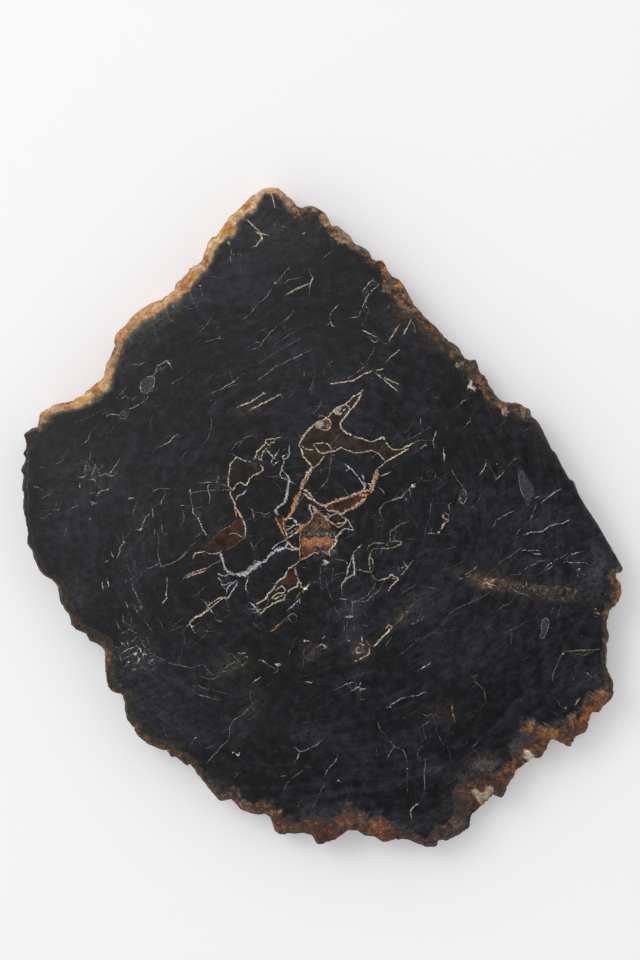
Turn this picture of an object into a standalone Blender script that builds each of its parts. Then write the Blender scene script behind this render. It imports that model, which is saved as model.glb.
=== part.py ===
"""A petrified wood cheese board: one slice of a silicified log, sawn flat and left with its bark.

The underside lies on z = 0 and the served-on face is at z = THICKNESS. The sharp end of the slice
points to +Y. Every outline point is in millimetres from the middle of the slice, seen from above.
"""
import math

import bmesh
import bpy
import numpy as np
from mathutils import Vector, noise

MM = 0.001

# Driving dimensions: the slice is 301 mm wide, 330 mm long and 20 mm thick.
THICKNESS = 20 * MM
HEART = (-5.5, -1.5)
SEGMENTS = 408

# Heights of the wall's rings as shares of the thickness, from the underside to the face.
RING_HEIGHTS = (0.0, 0.07, 0.24, 0.44, 0.6, 0.66, 0.83, 0.945, 1.0)

# Each stretch of the bark: its name, how far the face's edge and the underside's edge stand in from
# the widest line, how deep its wrinkles are, and its points in order, clockwise from the top.
STRETCHES = (
    ("crown", 2.2, 3.0, 0.9, (
        (-23, 165), (-20, 163.5), (-11.5, 155.5), (-9, 155), (-6, 156), (-2, 155), (0.5, 153.5),
        (3, 151), (5, 146))),
    ("upper right bark", 1.9, 2.6, 0.8, (
        (8, 145.5), (14.5, 140), (16.5, 137), (20.5, 135), (24, 132), (26, 129), (31, 128), (33, 124),
        (36.5, 120), (39.5, 118.5), (42, 115.5), (47, 106), (59.5, 93), (61, 90.5), (68.5, 85),
        (72, 80.5), (76.5, 79), (78, 77.5), (78.5, 74.5), (80.5, 71), (83, 69.5), (84, 66),
        (89.5, 59), (92.5, 57.5), (100.5, 56.5), (102.5, 54), (105, 54), (104.5, 51))),
    ("straight break", 0.9, 1.2, 0.25, (
        (108.5, 47), (115.5, 34), (117.5, 32), (121, 24.5), (124.5, 19), (126, 18.5), (130.5, 8.5),
        (140, -6.5), (150.5, -25))),
    ("right bark", 1.8, 3.0, 0.9, (
        (149.5, -27.5), (147.5, -29.5), (150.5, -36.5), (147.5, -44.5), (145.5, -46), (143, -52.5),
        (143, -55.5), (144, -59), (143, -66.5), (143, -75), (146, -81.5), (146.5, -86), (146, -90))),
    ("lobed bark", 3.2, 3.6, 1.3, (
        (142.5, -93.5), (140, -97.5), (135.5, -97.5), (134.5, -99.5), (133.5, -106), (130, -109),
        (127.5, -110), (126, -113.5), (124.5, -115), (117, -111.5), (114.5, -112.5), (112.5, -118),
        (110, -120.5), (106.5, -121.5), (102, -124), (98, -128), (97, -131), (94.5, -133.5),
        (90.5, -140), (87.5, -139.5), (84.5, -140.5), (75, -149.5), (74.5, -153))),
    ("foot bark", 3.0, 3.4, 1.2, (
        (73, -156.5), (62.5, -162.5), (59.5, -162.5), (57.5, -165), (50.5, -164.5), (42, -161.5),
        (31, -162), (27.5, -160), (25, -159.5), (22.5, -160), (20, -159), (19, -157), (15.5, -156.5),
        (13, -157), (10, -160), (4.5, -162.5), (-1.5, -163.5), (-3.5, -160.5), (-5.5, -159),
        (-9.5, -158), (-13.5, -158.5), (-16, -158), (-19.5, -159), (-23, -156.5), (-26, -150),
        (-28.5, -149), (-32.5, -149), (-40, -146.5), (-44.5, -142))),
    ("lower left bark", 1.8, 3.2, 1.0, (
        (-49, -142), (-52.5, -140.5), (-65, -124.5), (-67, -124.5), (-73, -120), (-75, -120),
        (-76, -118), (-84, -115), (-89, -111.5), (-92, -108.5), (-93, -106), (-97, -101),
        (-100, -90), (-104, -88), (-106.5, -85), (-108, -78), (-108.5, -67.5), (-112, -63.5),
        (-115.5, -62), (-116.5, -60), (-119.5, -57.5), (-124.5, -55), (-125.5, -51.5),
        (-130.5, -42.5), (-130.5, -39.5), (-133, -33.5), (-135.5, -31), (-139, -29),
        (-141.5, -25.5), (-146.5, -14.5))),
    ("left bark", 1.4, 2.6, 0.7, (
        (-147, -11.5), (-146.5, -7.5), (-149, 3), (-148.5, 11), (-149.5, 14.5), (-149, 21),
        (-150.5, 23.5), (-148, 29), (-149, 32), (-147.5, 34.5), (-147.5, 38), (-148.5, 41))),
    ("upper left bark", 3.4, 2.8, 0.9, (
        (-146, 43.5), (-142, 46), (-141.5, 49.5), (-139.5, 52.5), (-132, 56.5), (-129, 57),
        (-118.5, 61.5), (-117, 64), (-110, 69), (-107.5, 76.5), (-104, 84), (-103.5, 88.5),
        (-102, 92), (-97.5, 96), (-94.5, 100.5), (-86.5, 106.5), (-80.5, 109), (-73.5, 113.5),
        (-72.5, 116.5), (-66.5, 122.5), (-65.5, 125), (-60.5, 127.5), (-58, 135), (-55.5, 139.5),
        (-52, 141), (-45, 151), (-42, 152.5), (-39, 156.5), (-33, 162), (-30, 164))),
)

# Steps broken out of the upper half of the bark: middle, half length and depth in from the outline.
LEDGES = (((103.5, -123), 4.5, 4.5), ((80, -144.5), 6.5, 4.2), ((73.5, -153), 4.0, 3.0))

# Hollows open to the face: the mouth's points about its middle, then the depth at the north and south.
VUG = ((-1, -8.5), 7.5, 4.2, (
    (0, 11), (2, 10), (3.5, 7), (5.5, 3.5), (9, 2), (9, -3), (7, -8), (4, -10.5), (-2, -9), (-7, -6),
    (-9.5, -2), (-9.5, 1.5), (-4.5, 6.5), (-2, 10)))
PITS = (
    ((3, 46.5), 2.2, 2.2, ((0, 2), (1.6, 1), (1.8, -1), (0, -2.2), (-1.7, -1), (-1.5, 1))),
    ((-9.5, -20.5), 1.8, 1.8, ((0, 2.4), (1.3, 1), (1.4, -1.2), (0, -2.6), (-1.4, -1.2), (-1.2, 1.2))),
    ((82, -129), 2.8, 2.8, ((1, 4.2), (2.8, 3), (2.6, -1), (0, -3.8), (-2.6, -2.4), (-2.2, 1.6))),
)

# The wall's shape: the widest line lies at a share of the thickness and wanders by another share over
# so many millimetres, the leans swing by a share over so many millimetres, and the wrinkles of the
# bark are so many millimetres wide and turn so often from the underside to the face.
WIDEST_SHARE, WIDEST_WANDER, WANDER_SIZE = 0.62, 0.16, 24
LEAN_SWING, SWING_SIZE = 0.7, 13
SHOULDER_POWER, UNDERCUT_POWER = 2.0, 1.7
WRINKLE_SIZE, WRINKLE_TURNS = 4.2, 1.6
LEDGE_SHARE = 0.62

# The hollows' walls: how far the cutter's equator stands above the face, in millimetres, and how
# deep and how close its lumps are.
CUTTER_LIFT = 0.5
LUMP_DEPTH, LUMPS_PER_RADIUS = 0.22, 2.3
BALL_RINGS = 12

STONE_COLOR = (0.018, 0.018, 0.021, 1.0)
STONE_ROUGHNESS = 0.38


def clear_scene():
    for thing in list(bpy.data.objects):
        bpy.data.objects.remove(thing, do_unlink=True)


def new_collection(name):
    collection = bpy.data.collections.new(name)
    bpy.context.scene.collection.children.link(collection)
    return collection


def stone_material():
    stone = bpy.data.materials.new("black_silicified_wood")
    stone.use_nodes = True
    shader = stone.node_tree.nodes["Principled BSDF"]
    shader.inputs["Base Color"].default_value = STONE_COLOR
    shader.inputs["Roughness"].default_value = STONE_ROUGHNESS
    shader.inputs["Metallic"].default_value = 0.0
    return stone


def closed_curve(points, steps):
    """A Catmull-Rom curve round closed points: a cubic between each pair, sampled in equal steps."""
    here = np.array(points, float)
    before = np.roll(here, 1, axis=0)
    after = np.roll(here, -1, axis=0)
    beyond = np.roll(here, -2, axis=0)
    t = (np.arange(steps) / steps)[None, :, None]
    slope_in = (after - before)[:, None, :] * 0.5
    slope_out = (beyond - here)[:, None, :] * 0.5
    start, end = here[:, None, :], after[:, None, :]
    curve = ((2 * t**3 - 3 * t**2 + 1) * start + (t**3 - 2 * t**2 + t) * slope_in
             + (3 * t**2 - 2 * t**3) * end + (t**3 - t**2) * slope_out)
    return curve.reshape(-1, curve.shape[-1])


def bark_outline():
    """The widest line of the slice: SEGMENTS stations of equal length, each x, y and three depths."""
    stations = [(x, y, face_inset, foot_inset, wrinkle)
                for _, face_inset, foot_inset, wrinkle, points in STRETCHES for x, y in points]
    curve = closed_curve(stations, 8)
    loop = np.vstack([curve, curve[:1]])
    travelled = np.concatenate([[0], np.cumsum(np.linalg.norm(np.diff(loop[:, :2], axis=0), axis=1))])
    stops = np.arange(SEGMENTS) / SEGMENTS * travelled[-1]
    return np.column_stack([np.interp(stops, travelled, column) for column in loop.T])


def wall_inset(x, y, depths, share):
    """How far the wall stands in from the widest line, at a height given as a share of the thickness.

    The widest line wanders up and down. Above it the wall leans in to the face's edge and below it
    to the underside's edge, with wrinkles between, and a ledge takes a step out of the upper part.
    """
    face_inset, foot_inset, wrinkle = depths
    widest = WIDEST_SHARE + WIDEST_WANDER * noise.noise(Vector((x, y, 0)) / WANDER_SIZE)
    above = max(0.0, (share - widest) / (1 - widest))
    below = max(0.0, (widest - share) / widest)
    place = Vector((x, y, share * THICKNESS / MM))
    swing = 1 + LEAN_SWING * noise.noise(place / SWING_SIZE + Vector((7, 3, 1)))
    lean = swing * (face_inset * above**SHOULDER_POWER + foot_inset * below**UNDERCUT_POWER)
    fold = 0.5 + noise.noise(Vector((x / WRINKLE_SIZE, y / WRINKLE_SIZE, share * WRINKLE_TURNS)))
    inset = lean + max(0.0, wrinkle * fold) * min(1.0, above + below)
    for (ledge_x, ledge_y), half_length, depth in LEDGES:
        near = math.exp(-((x - ledge_x) ** 2 + (y - ledge_y) ** 2) / half_length**2)
        if share > LEDGE_SHARE:
            inset += depth * near
    return inset


def make_slab(stone, collection):
    """A cylinder cut into rings, whose every vertex then moves out to the bark at its height."""
    bm = bmesh.new()
    bmesh.ops.create_cone(bm, cap_ends=True, segments=SEGMENTS, radius1=1, radius2=1, depth=THICKNESS)
    bmesh.ops.translate(bm, verts=bm.verts, vec=(0, 0, THICKNESS / 2))
    for share in RING_HEIGHTS[1:-1]:
        bmesh.ops.bisect_plane(bm, geom=bm.verts[:] + bm.edges[:] + bm.faces[:], dist=1e-7,
                               plane_co=(0, 0, share * THICKNESS), plane_no=(0, 0, 1))
    outline = bark_outline()
    for vertex in bm.verts:
        turn = math.atan2(vertex.co.x, vertex.co.y) / math.tau
        x, y, *depths = outline[round(turn * SEGMENTS) % SEGMENTS]
        share = vertex.co.z / THICKNESS
        arm = Vector((x - HEART[0], y - HEART[1]))
        arm *= 1 - wall_inset(x, y, depths, share) / arm.length
        vertex.co.x = (HEART[0] + arm.x) * MM
        vertex.co.y = (HEART[1] + arm.y) * MM
    mesh = bpy.data.meshes.new("slab")
    bm.to_mesh(mesh)
    bm.free()
    mesh.materials.append(stone)
    slab = bpy.data.objects.new("slab", mesh)
    collection.objects.link(slab)
    return slab


def make_hollow_cutter(name, middle, north_depth, south_depth, mouth, collection):
    """A lumpy ball centred on the face: its equator follows the mouth, its bottom slopes to the south."""
    mouth_curve = closed_curve(mouth, 6)
    angles = np.arctan2(mouth_curve[:, 1], mouth_curve[:, 0])
    reach = np.linalg.norm(mouth_curve, axis=1)
    order = np.argsort(angles)
    bm = bmesh.new()
    bmesh.ops.create_uvsphere(bm, u_segments=3 * len(mouth), v_segments=BALL_RINGS, radius=1)
    for vertex in bm.verts:
        ball = vertex.co.copy()
        angle = math.atan2(ball.y, ball.x)
        radius = np.interp(angle, angles[order], reach[order], period=math.tau)
        southward = 0.5 - 0.5 * ball.y
        depth = north_depth + (south_depth - north_depth) * southward
        lump = 1.0
        if ball.z < -0.1:
            # The equator stays on the mouth, so only the part below the face is lumpy.
            lump += LUMP_DEPTH * noise.noise(ball * LUMPS_PER_RADIUS + Vector((*middle, 0)))
        vertex.co.x = (middle[0] + ball.x * radius * lump) * MM
        vertex.co.y = (middle[1] + ball.y * radius * lump) * MM
        vertex.co.z = THICKNESS + (CUTTER_LIFT + ball.z * depth * lump) * MM
    mesh = bpy.data.meshes.new(name)
    bm.to_mesh(mesh)
    bm.free()
    cutter = bpy.data.objects.new(name, mesh)
    cutter.display_type = "WIRE"
    cutter.hide_render = True
    collection.objects.link(cutter)
    return cutter


def cut(slab, cutter):
    boolean = slab.modifiers.new(cutter.name, "BOOLEAN")
    boolean.operation = "DIFFERENCE"
    boolean.solver = "EXACT"
    boolean.object = cutter


def main():
    clear_scene()
    board = new_collection("petrified_wood_cheese_board")
    cutters = new_collection("cutters")
    slab = make_slab(stone_material(), board)
    cut(slab, make_hollow_cutter("vug", *VUG, cutters))
    for number, pit in enumerate(PITS, start=1):
        cut(slab, make_hollow_cutter(f"pit_{number}", *pit, cutters))


main()
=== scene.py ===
# %% [markdown]
# # A petrified wood cheese board
#
# The real board is one slice of a log whose wood turned to stone. It was sawn flat, its face was
# polished, and its bark was left rough all round. Near its heart the wood cracked and shrank, and
# pale quartz and brown agate filled the cracks, all but one small hollow.
#
# The plain solid is loaded first, because it fixes every size. The stone's own surface is then
# computed round it as one closed mesh, and its veins are numbers kept on that mesh.

import math

import bpy
import numpy as np
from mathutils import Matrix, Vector
from mathutils.geometry import delaunay_2d_cdt


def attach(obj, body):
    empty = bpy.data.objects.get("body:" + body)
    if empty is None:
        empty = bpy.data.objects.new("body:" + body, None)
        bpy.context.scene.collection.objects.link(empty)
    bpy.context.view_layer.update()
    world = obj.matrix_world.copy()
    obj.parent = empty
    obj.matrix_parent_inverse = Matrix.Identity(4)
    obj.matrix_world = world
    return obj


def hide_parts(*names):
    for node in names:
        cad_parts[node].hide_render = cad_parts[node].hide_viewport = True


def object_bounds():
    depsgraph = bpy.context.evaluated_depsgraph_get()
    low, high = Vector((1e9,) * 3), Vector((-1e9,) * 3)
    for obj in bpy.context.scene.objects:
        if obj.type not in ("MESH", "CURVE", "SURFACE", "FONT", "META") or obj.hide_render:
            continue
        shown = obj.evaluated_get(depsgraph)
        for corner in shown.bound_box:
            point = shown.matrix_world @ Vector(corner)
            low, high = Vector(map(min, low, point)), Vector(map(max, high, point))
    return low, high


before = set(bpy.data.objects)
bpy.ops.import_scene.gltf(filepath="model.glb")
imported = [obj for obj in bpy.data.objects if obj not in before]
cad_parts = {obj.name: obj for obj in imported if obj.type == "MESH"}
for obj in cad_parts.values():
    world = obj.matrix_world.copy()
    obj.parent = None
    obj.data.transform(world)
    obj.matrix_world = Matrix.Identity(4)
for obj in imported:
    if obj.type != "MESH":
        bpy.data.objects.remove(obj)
cad_low, cad_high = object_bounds()
print("solid is", [round(1000 * side, 1) for side in cad_high - cad_low], "mm")

# %% [markdown]
# ## Units
#
# The shapes below are worked out in millimetres and become metres only when a mesh is made. The
# veins could be drawn by a random pattern alone, but the eye knows this board by them, so the main
# ones were placed over the photograph. One pixel there is half a millimetre of stone.

# %% Units and places
MM = 0.001
PIXEL = 0.5
PHOTO_MIDDLE = (321, 517)
HEART = np.array((-5.5, -1.5))
THICKNESS = cad_high.z / MM


def from_photo(pixels):
    """Millimetres on the face: x is (column - 321) / 2 and y is (517 - row) / 2."""
    return (np.asarray(pixels, float) - PHOTO_MIDDLE) * (PIXEL, -PIXEL)


def linear(hex_color):
    """Linear light from an sRGB hex colour: (c + 0.055) / 1.055 to the power 2.4, or c / 12.92 if dark."""
    c = np.array([int(hex_color[i:i + 2], 16) for i in (1, 3, 5)]) / 255
    return np.where(c > 0.04045, ((c + 0.055) / 1.055) ** 2.4, c / 12.92)


def polar(places):
    """Bearing about the heart, clockwise from +Y and from 0 to a full turn, and distance from it."""
    arms = places - HEART
    return np.arctan2(arms[:, 0], arms[:, 1]) % math.tau, np.linalg.norm(arms, axis=1)


def table_rows(text):
    """For each line of a table: its point in mm, a list of its numbers and a list of its linear colours."""
    for line in text.strip().split("\n"):
        point, *words = line.split()
        numbers = [float(word) for word in words if word[0] != "#"]
        colors = [linear(word) for word in words if word[0] == "#"]
        yield from_photo([float(n) for n in point.split(",")]), numbers, colors


print("heart lies", HEART, "mm from the middle, face at", round(THICKNESS, 2), "mm")

# %% [markdown]
# ## Randomness that repeats
#
# Stone is uneven at every size. Random numbers at the corners of a grid, blended smoothly between
# them, give lumps of one size, and several sizes added together look like broken rock. The numbers
# come from arithmetic on the corner's own place, so every run gives the same stone.

# %% Noise
PRIMES = np.array((73856093, 19349663, 83492791))
SEED_STEP, SCRAMBLE = 97531, 1274126177
WORD = 0xFFFFFFFF
# Each layer of rough noise is this much weaker than the one before, and this many times finer.
FADE, FINER = 0.55, 1.93


def cell_number(cells, seed):
    """A number from 0 to 1 for each whole-number cell: its place times primes, mixed by shifts."""
    mixed = (cells @ PRIMES[:cells.shape[1]] + seed * SEED_STEP) & WORD
    for shift in (15, 12):
        mixed = ((mixed ^ (mixed >> shift)) * SCRAMBLE) & WORD
    return (mixed ^ (mixed >> 16)) / WORD


def noise(places, size, seed=0):
    """Smooth numbers from -1 to 1: the corners of a grid of that size, blended by s = 3t^2 - 2t^3."""
    scaled = np.asarray(places, float) / size
    cells = np.floor(scaled).astype(np.int64)
    t = scaled - cells
    s = t * t * (3 - 2 * t)
    total = np.zeros(len(scaled))
    for corner in np.ndindex(*(2,) * scaled.shape[1]):
        share = np.prod(np.where(corner, s, 1 - s), axis=1)
        total += share * cell_number(cells + corner, seed)
    return 2 * total - 1


def rough(places, size, octaves, seed=0):
    """Noise of one size, plus 0.55 times noise 1.93 times finer, and so on, over the sum of the shares."""
    shares = FADE ** np.arange(octaves)
    layers = [share * noise(places, size / FINER ** k, seed + k) for k, share in enumerate(shares)]
    return sum(layers) / shares.sum()


def smooth_step(value, low, high):
    """0 below low, 1 above high, and 3t^2 - 2t^3 between."""
    t = np.clip((value - low) / (high - low), 0, 1)
    return t * t * (3 - 2 * t)


sample = rough(np.random.default_rng(1).uniform(0, 200, (4000, 2)), 9, 3)
print("noise runs from", sample.min().round(2), "to", sample.max().round(2))

# %% [markdown]
# ## The wall of the solid
#
# The solid's wall is a stack of rings, and in every ring the corners lie on the same bearings from
# the heart. Reading those rings back gives the exact outline to follow: the fine bark is laid on
# it, and can't drift off it.

# %% Read the rings
# Corners are level within this many mm, and lie on one bearing within this many radians.
LEVEL, IN_LINE, NEXT_LINE = 0.05, 5e-4, 2e-4


def read_rings(mesh):
    """Bearings of the wall's corners, heights of its rings, and the radius for each pair.

    The hollows' corners share a height with the face, so the outermost corner on each bearing is the
    wall's.
    """
    corners = np.empty(len(mesh.vertices) * 3, np.float32)
    mesh.vertices.foreach_get("co", corners)
    corners = corners.reshape(-1, 3).astype(float) / MM
    heights, counts = np.unique(corners[:, 2].round(2), return_counts=True)
    heights = heights[counts > counts.max() / 3]
    turns, reach = polar(corners[:, :2])
    foot = np.sort(turns[np.abs(corners[:, 2]) < LEVEL])
    bearings = foot[np.diff(foot, prepend=foot[-1] - math.tau) > NEXT_LINE]
    radii = np.zeros((len(heights), len(bearings)))
    for row, height in enumerate(heights):
        ring = np.abs(corners[:, 2] - height) < LEVEL
        slot = np.searchsorted(bearings, turns[ring])
        slot = np.where(np.abs(bearings[slot % len(bearings)] - turns[ring]) < IN_LINE, slot, slot - 1)
        on_wall = np.abs(bearings[slot % len(bearings)] - turns[ring]) < IN_LINE
        np.maximum.at(radii[row], slot[on_wall] % len(bearings), reach[ring][on_wall])
    return bearings, heights, radii


cad_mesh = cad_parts["slab"].data
bearings, ring_heights, ring_radii = read_rings(cad_mesh)
print(len(bearings), "bearings,", len(ring_heights), "rings, radius", ring_radii.min().round(1), "to",
      ring_radii.max().round(1), "mm")

# %% [markdown]
# ## The bark
#
# The edge of the slice is the old outside of the log: a crust with lumps, upright cracks and broken
# steps. A displacement modifier would need an image or a texture for that. Here the wall is a grid,
# stations round the slice by rows up it, and each grid point moves along its own outward normal.
# On the right the slice broke off straight along a clean crack, so the wall there stays calm.

# %% The wall as a grid
STATIONS = 1180
ROWS = 24
# Rows crowd together near both edges, where the light catches the bark.
CROWDED, EVEN = 0.55, 0.45


def around(table, place):
    """A table's columns read at fractional places round the ring, by a cubic through four neighbours."""
    whole = np.floor(place).astype(int)
    t = place - whole
    a, b, c, d = (table[..., (whole + step) % table.shape[-1]] for step in (-1, 0, 1, 2))
    return b + t / 2 * (c - a + t * (2 * a - 5 * b + 4 * c - d + t * (3 * (b - c) + d - a)))


def even_stations(radii, turns, count):
    """Fractional places of equal spacing along the widest line of the wall."""
    widest = radii.max(axis=0)
    line = np.column_stack([widest * np.sin(turns), widest * np.cos(turns)])
    steps = np.linalg.norm(np.diff(line, axis=0, append=line[:1]), axis=1)
    travelled = np.concatenate([[0], np.cumsum(steps)])
    return np.interp(np.arange(count) / count * travelled[-1], travelled, np.arange(len(travelled)))


places = even_stations(ring_radii, bearings, STATIONS)
unrolled = np.column_stack([np.sin(bearings), np.cos(bearings)]).T
sine, cosine = around(unrolled, places)
station_turns = np.arctan2(sine, cosine) % math.tau
steps_up = np.arange(ROWS) / (ROWS - 1)
row_shares = CROWDED * (0.5 - 0.5 * np.cos(math.pi * steps_up)) + EVEN * steps_up
row_heights = row_shares * THICKNESS
station_radii = around(ring_radii, places)
wall_radii = np.stack([np.interp(row_heights, ring_heights, column) for column in station_radii.T], 1)


def on_wall(radii, heights):
    """Points of a wall grid: the heart plus the radius along each bearing, at each row's height."""
    flat = radii[..., None] * np.column_stack([np.sin(station_turns), np.cos(station_turns)]) + HEART
    return np.concatenate([flat, np.broadcast_to(heights, radii.shape)[..., None]], axis=2)


wall = on_wall(wall_radii, row_heights[:, None])
girth = np.linalg.norm(np.diff(wall[ROWS // 2], axis=0, append=wall[ROWS // 2][:1]), axis=1).sum()
print("wall grid", wall.shape[:2], "over", round(girth), "mm of bark")

# %% [markdown]
# ## What the bark is like from place to place
#
# Going round the slice, the crust changes: bright ochre at the upper left, thin and dark on the
# left, wide and rusty at the lower right, and bare where the slice broke off. A short table says
# so at points picked on the rim, and everything about the crust is read from it by bearing.

# %% The crust's table
# Each line: a point on the rim in pixels, how far the crust reaches in over the face in pixels, how
# craggy the wall is from 0 to 1, how broken the crust is from 0 to 1, then its two colours.
CRUST = """
    272,189 5.5 0.8 0.3 #efc6a0 #ce9e6d
    300,206 6.3 0.8 0.6 #826041 #382a1c
    326,212 4.0 0.8 0.5 #885e39 #3d2917
    352,238 4.0 0.8 0.5 #7f5632 #342416
    378,262 5.0 0.8 0.4 #935f34 #412c18
    392,277 8.1 0.8 0.2 #be8d53 #684624
    408,302 8.6 0.8 0.5 #9b6839 #442c18
    436,334 9.0 0.9 0.8 #6d4f34 #302316
    462,360 6.8 0.9 0.8 #634932 #2a1f15
    488,388 5.0 0.9 0.8 #72543a #2f2215
    520,407 7.2 0.9 0.7 #856447 #33251d
    534,422 2.7 0.4 0.9 #54493f #252220
    560,455 1.3 0.1 0.9 #464240 #202020
    590,515 1.1 0.1 0.9 #424043 #202022
    616,560 1.4 0.2 0.8 #4d4844 #222121
    619,577 7.2 0.9 0.3 #8a6544 #442f20
    619,595 6.8 0.9 0.3 #a76b39 #50331c
    609,612 4.4 0.9 0.5 #6b452a #302118
    606,640 2.4 0.8 0.7 #41332a #211c19
    607,665 2.8 0.8 0.7 #453a31 #241f1c
    612,686 7.6 0.9 0.5 #6e4e35 #2e231b
    605,704 12.3 1.0 0.3 #8e5a31 #482d1a
    588,722 10.4 1.0 0.2 #884c24 #4c2b14
    570,743 15.2 1.0 0.3 #7d502e #392518
    545,748 23.8 1.0 0.3 #86532b #3b2616
    535,759 12.0 1.0 0.2 #704b32 #2f2119
    518,772 10.4 1.0 0.3 #8d572c #422a14
    504,792 13.3 1.0 0.4 #623b24 #2c1d15
    480,800 15.2 1.0 0.3 #6e4427 #312015
    468,828 11.4 0.9 0.5 #553d2d #271e1a
    440,842 8.5 0.9 0.5 #634938 #2c221d
    405,840 5.2 0.9 0.6 #583722 #261b14
    382,838 18.1 1.0 0.2 #7f4a29 #492917
    362,832 19.0 1.0 0.4 #6a472a #322318
    345,830 16.1 1.0 0.3 #734628 #3b2516
    325,842 15.2 1.0 0.2 #67361d #371f12
    300,833 6.2 0.9 0.5 #6a472c #2e2118
    276,822 9.5 0.9 0.2 #915c30 #472d1a
    255,812 7.1 0.9 0.4 #784e2c #352316
    224,799 5.2 0.8 0.5 #6f4f39 #31251e
    195,770 4.8 0.8 0.5 #583f2b #281f1a
    165,752 6.6 0.8 0.5 #704927 #322216
    140,737 5.2 0.8 0.5 #64442a #2c2014
    128,712 4.3 0.8 0.6 #4e3b2d #241d19
    112,688 9.0 0.9 0.5 #624a2d #2b2114
    106,662 8.5 0.9 0.4 #6e4e2a #2e2215
    98,645 8.1 0.9 0.5 #5e4129 #291d15
    78,622 6.6 0.9 0.5 #573b26 #261c14
    60,592 3.1 0.7 0.7 #564332 #26201a
    40,560 2.5 0.6 0.7 #433229 #1e1a18
    25,525 2.1 0.6 0.8 #3d2f26 #1c1818
    24,490 2.1 0.6 0.8 #3e3027 #1d1919
    25,455 2.5 0.6 0.7 #48372a #211c1a
    32,430 4.8 0.8 0.5 #584432 #28211d
    52,409 5.8 0.9 0.2 #e4bc8c #c49661
    80,396 7.2 0.9 0.2 #e7ba7c #c79455
    103,382 7.2 0.9 0.2 #f1c590 #d19d62
    112,352 4.7 0.8 0.4 #b38f6a #9b7249
    125,325 5.1 0.8 0.4 #c79c6e #ac7d4a
    160,296 6.9 0.8 0.2 #ebbc8c #cc9661
    188,270 7.2 0.8 0.2 #e4b485 #c48f5b
    212,242 7.2 0.8 0.2 #f4ce9c #d2a46b
    236,212 6.5 0.8 0.2 #f1c595 #d19d66
    255,194 5.8 0.8 0.2 #f1cda2 #d1a471
"""


def read_crust(text):
    """The table as numbers in order of bearing: bearing, reach in mm, crags, gaps and two linear colours."""
    rows = []
    for point, (reach, crags, gaps), (light, dark) in table_rows(text):
        x, y = point - HEART
        rows.append([math.atan2(x, y) % math.tau, reach * PIXEL, crags, gaps, *light, *dark])
    return np.array(sorted(rows))


crust_table = read_crust(CRUST)
crust_reach = crust_table[:, 1]


def crust_at(turns):
    """Reach, crags, gaps and two colours at bearings, each blended between its neighbours in the table."""
    columns = [np.interp(turns, crust_table[:, 0], column, period=math.tau) for column in crust_table.T[1:]]
    return columns[0], columns[1], columns[2], np.stack(columns[3:6], 1), np.stack(columns[6:9], 1)


print(len(crust_table), "places on the rim, crust", crust_reach.min(), "to", crust_reach.max(), "mm wide")

# %% Roughen the wall
# Sizes of what makes the bark rough, in mm, then how far each stands out or is sunk.
LUMP, GRAIN, CRACK, FINE, LEDGE = 5.5, 1.7, 7.0, 1.3, 9
LUMP_OUT, GRAIN_OUT, CRACK_IN, FINE_OUT, LEDGE_OUT = 0.75, 0.34, 0.9, 0.14, 0.5
LEDGES = 2.2
SEAM = 14
CALM, CRAGGY = 0.12, 0.88
RUBBED = 0.25


def grid_normals(grid):
    """Outward unit normals of the wall grid: the slope up it crossed with the slope round it."""
    around_it = np.roll(grid, -1, axis=1) - np.roll(grid, 1, axis=1)
    up_it = np.gradient(grid, axis=0)
    normal = np.cross(up_it, around_it)
    return normal / np.linalg.norm(normal, axis=2, keepdims=True)


def bark_relief(points, along):
    """How far the bark stands out, in mm: lumps, plus grain, less cracks, plus fine crust, plus ledges.

    The grain and the cracks are noise stretched up the wall. A crack is where the noise is near zero.
    A ledge is noise rounded to steps.
    """
    place = points.reshape(-1, 3)
    upright = np.column_stack([along.ravel(), place[:, 2] / 5])
    wavy = upright + 0.8 * noise(place, 6, 11)[:, None] * (1, 0)
    lumps = rough(place, LUMP, 3, 21)
    grain = rough(wavy, GRAIN, 2, 31)
    cracks = 1 - np.abs(noise(wavy + 0.9 * noise(place, 3, 13)[:, None] * (1, 0), CRACK, 41)) * 7
    ledges = np.round(LEDGES * rough(place * (1, 1, 1.7), LEDGE, 2, 61)) / LEDGES
    relief = LUMP_OUT * lumps + GRAIN_OUT * grain - CRACK_IN * np.clip(cracks, 0, 1)
    relief = relief + FINE_OUT * noise(place, FINE, 51) + LEDGE_OUT * ledges
    return relief.reshape(points.shape[:2])


travel = np.cumsum(np.linalg.norm(np.diff(wall[ROWS // 2], axis=0, prepend=wall[ROWS // 2][-1:]), axis=1))
_, crags, gaps, _, _ = crust_at(station_turns)
relief = bark_relief(wall, np.broadcast_to(travel, wall.shape[:2]))
# The grain can't meet itself where the first and last stations join, so the bark is calm there.
seam = smooth_step(np.abs(np.arange(STATIONS) - STATIONS / 2), STATIONS / 2 - SEAM, STATIONS / 2)
relief *= (1 - seam) * (CALM + CRAGGY * crags)
ends = smooth_step(np.minimum(row_heights, THICKNESS - row_heights), -0.6, 1.6)[:, None]
wall = wall + grid_normals(wall) * (relief * ends)[..., None]
wall[0, :, 2], wall[-1, :, 2] = RUBBED, THICKNESS - RUBBED
wall[..., 2] = np.clip(wall[..., 2], RUBBED, THICKNESS - RUBBED)
wall_places = wall.reshape(-1, 3)
wall_count = ROWS * STATIONS
print("bark moved", relief.min().round(2), "to", relief.max().round(2), "mm")
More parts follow.
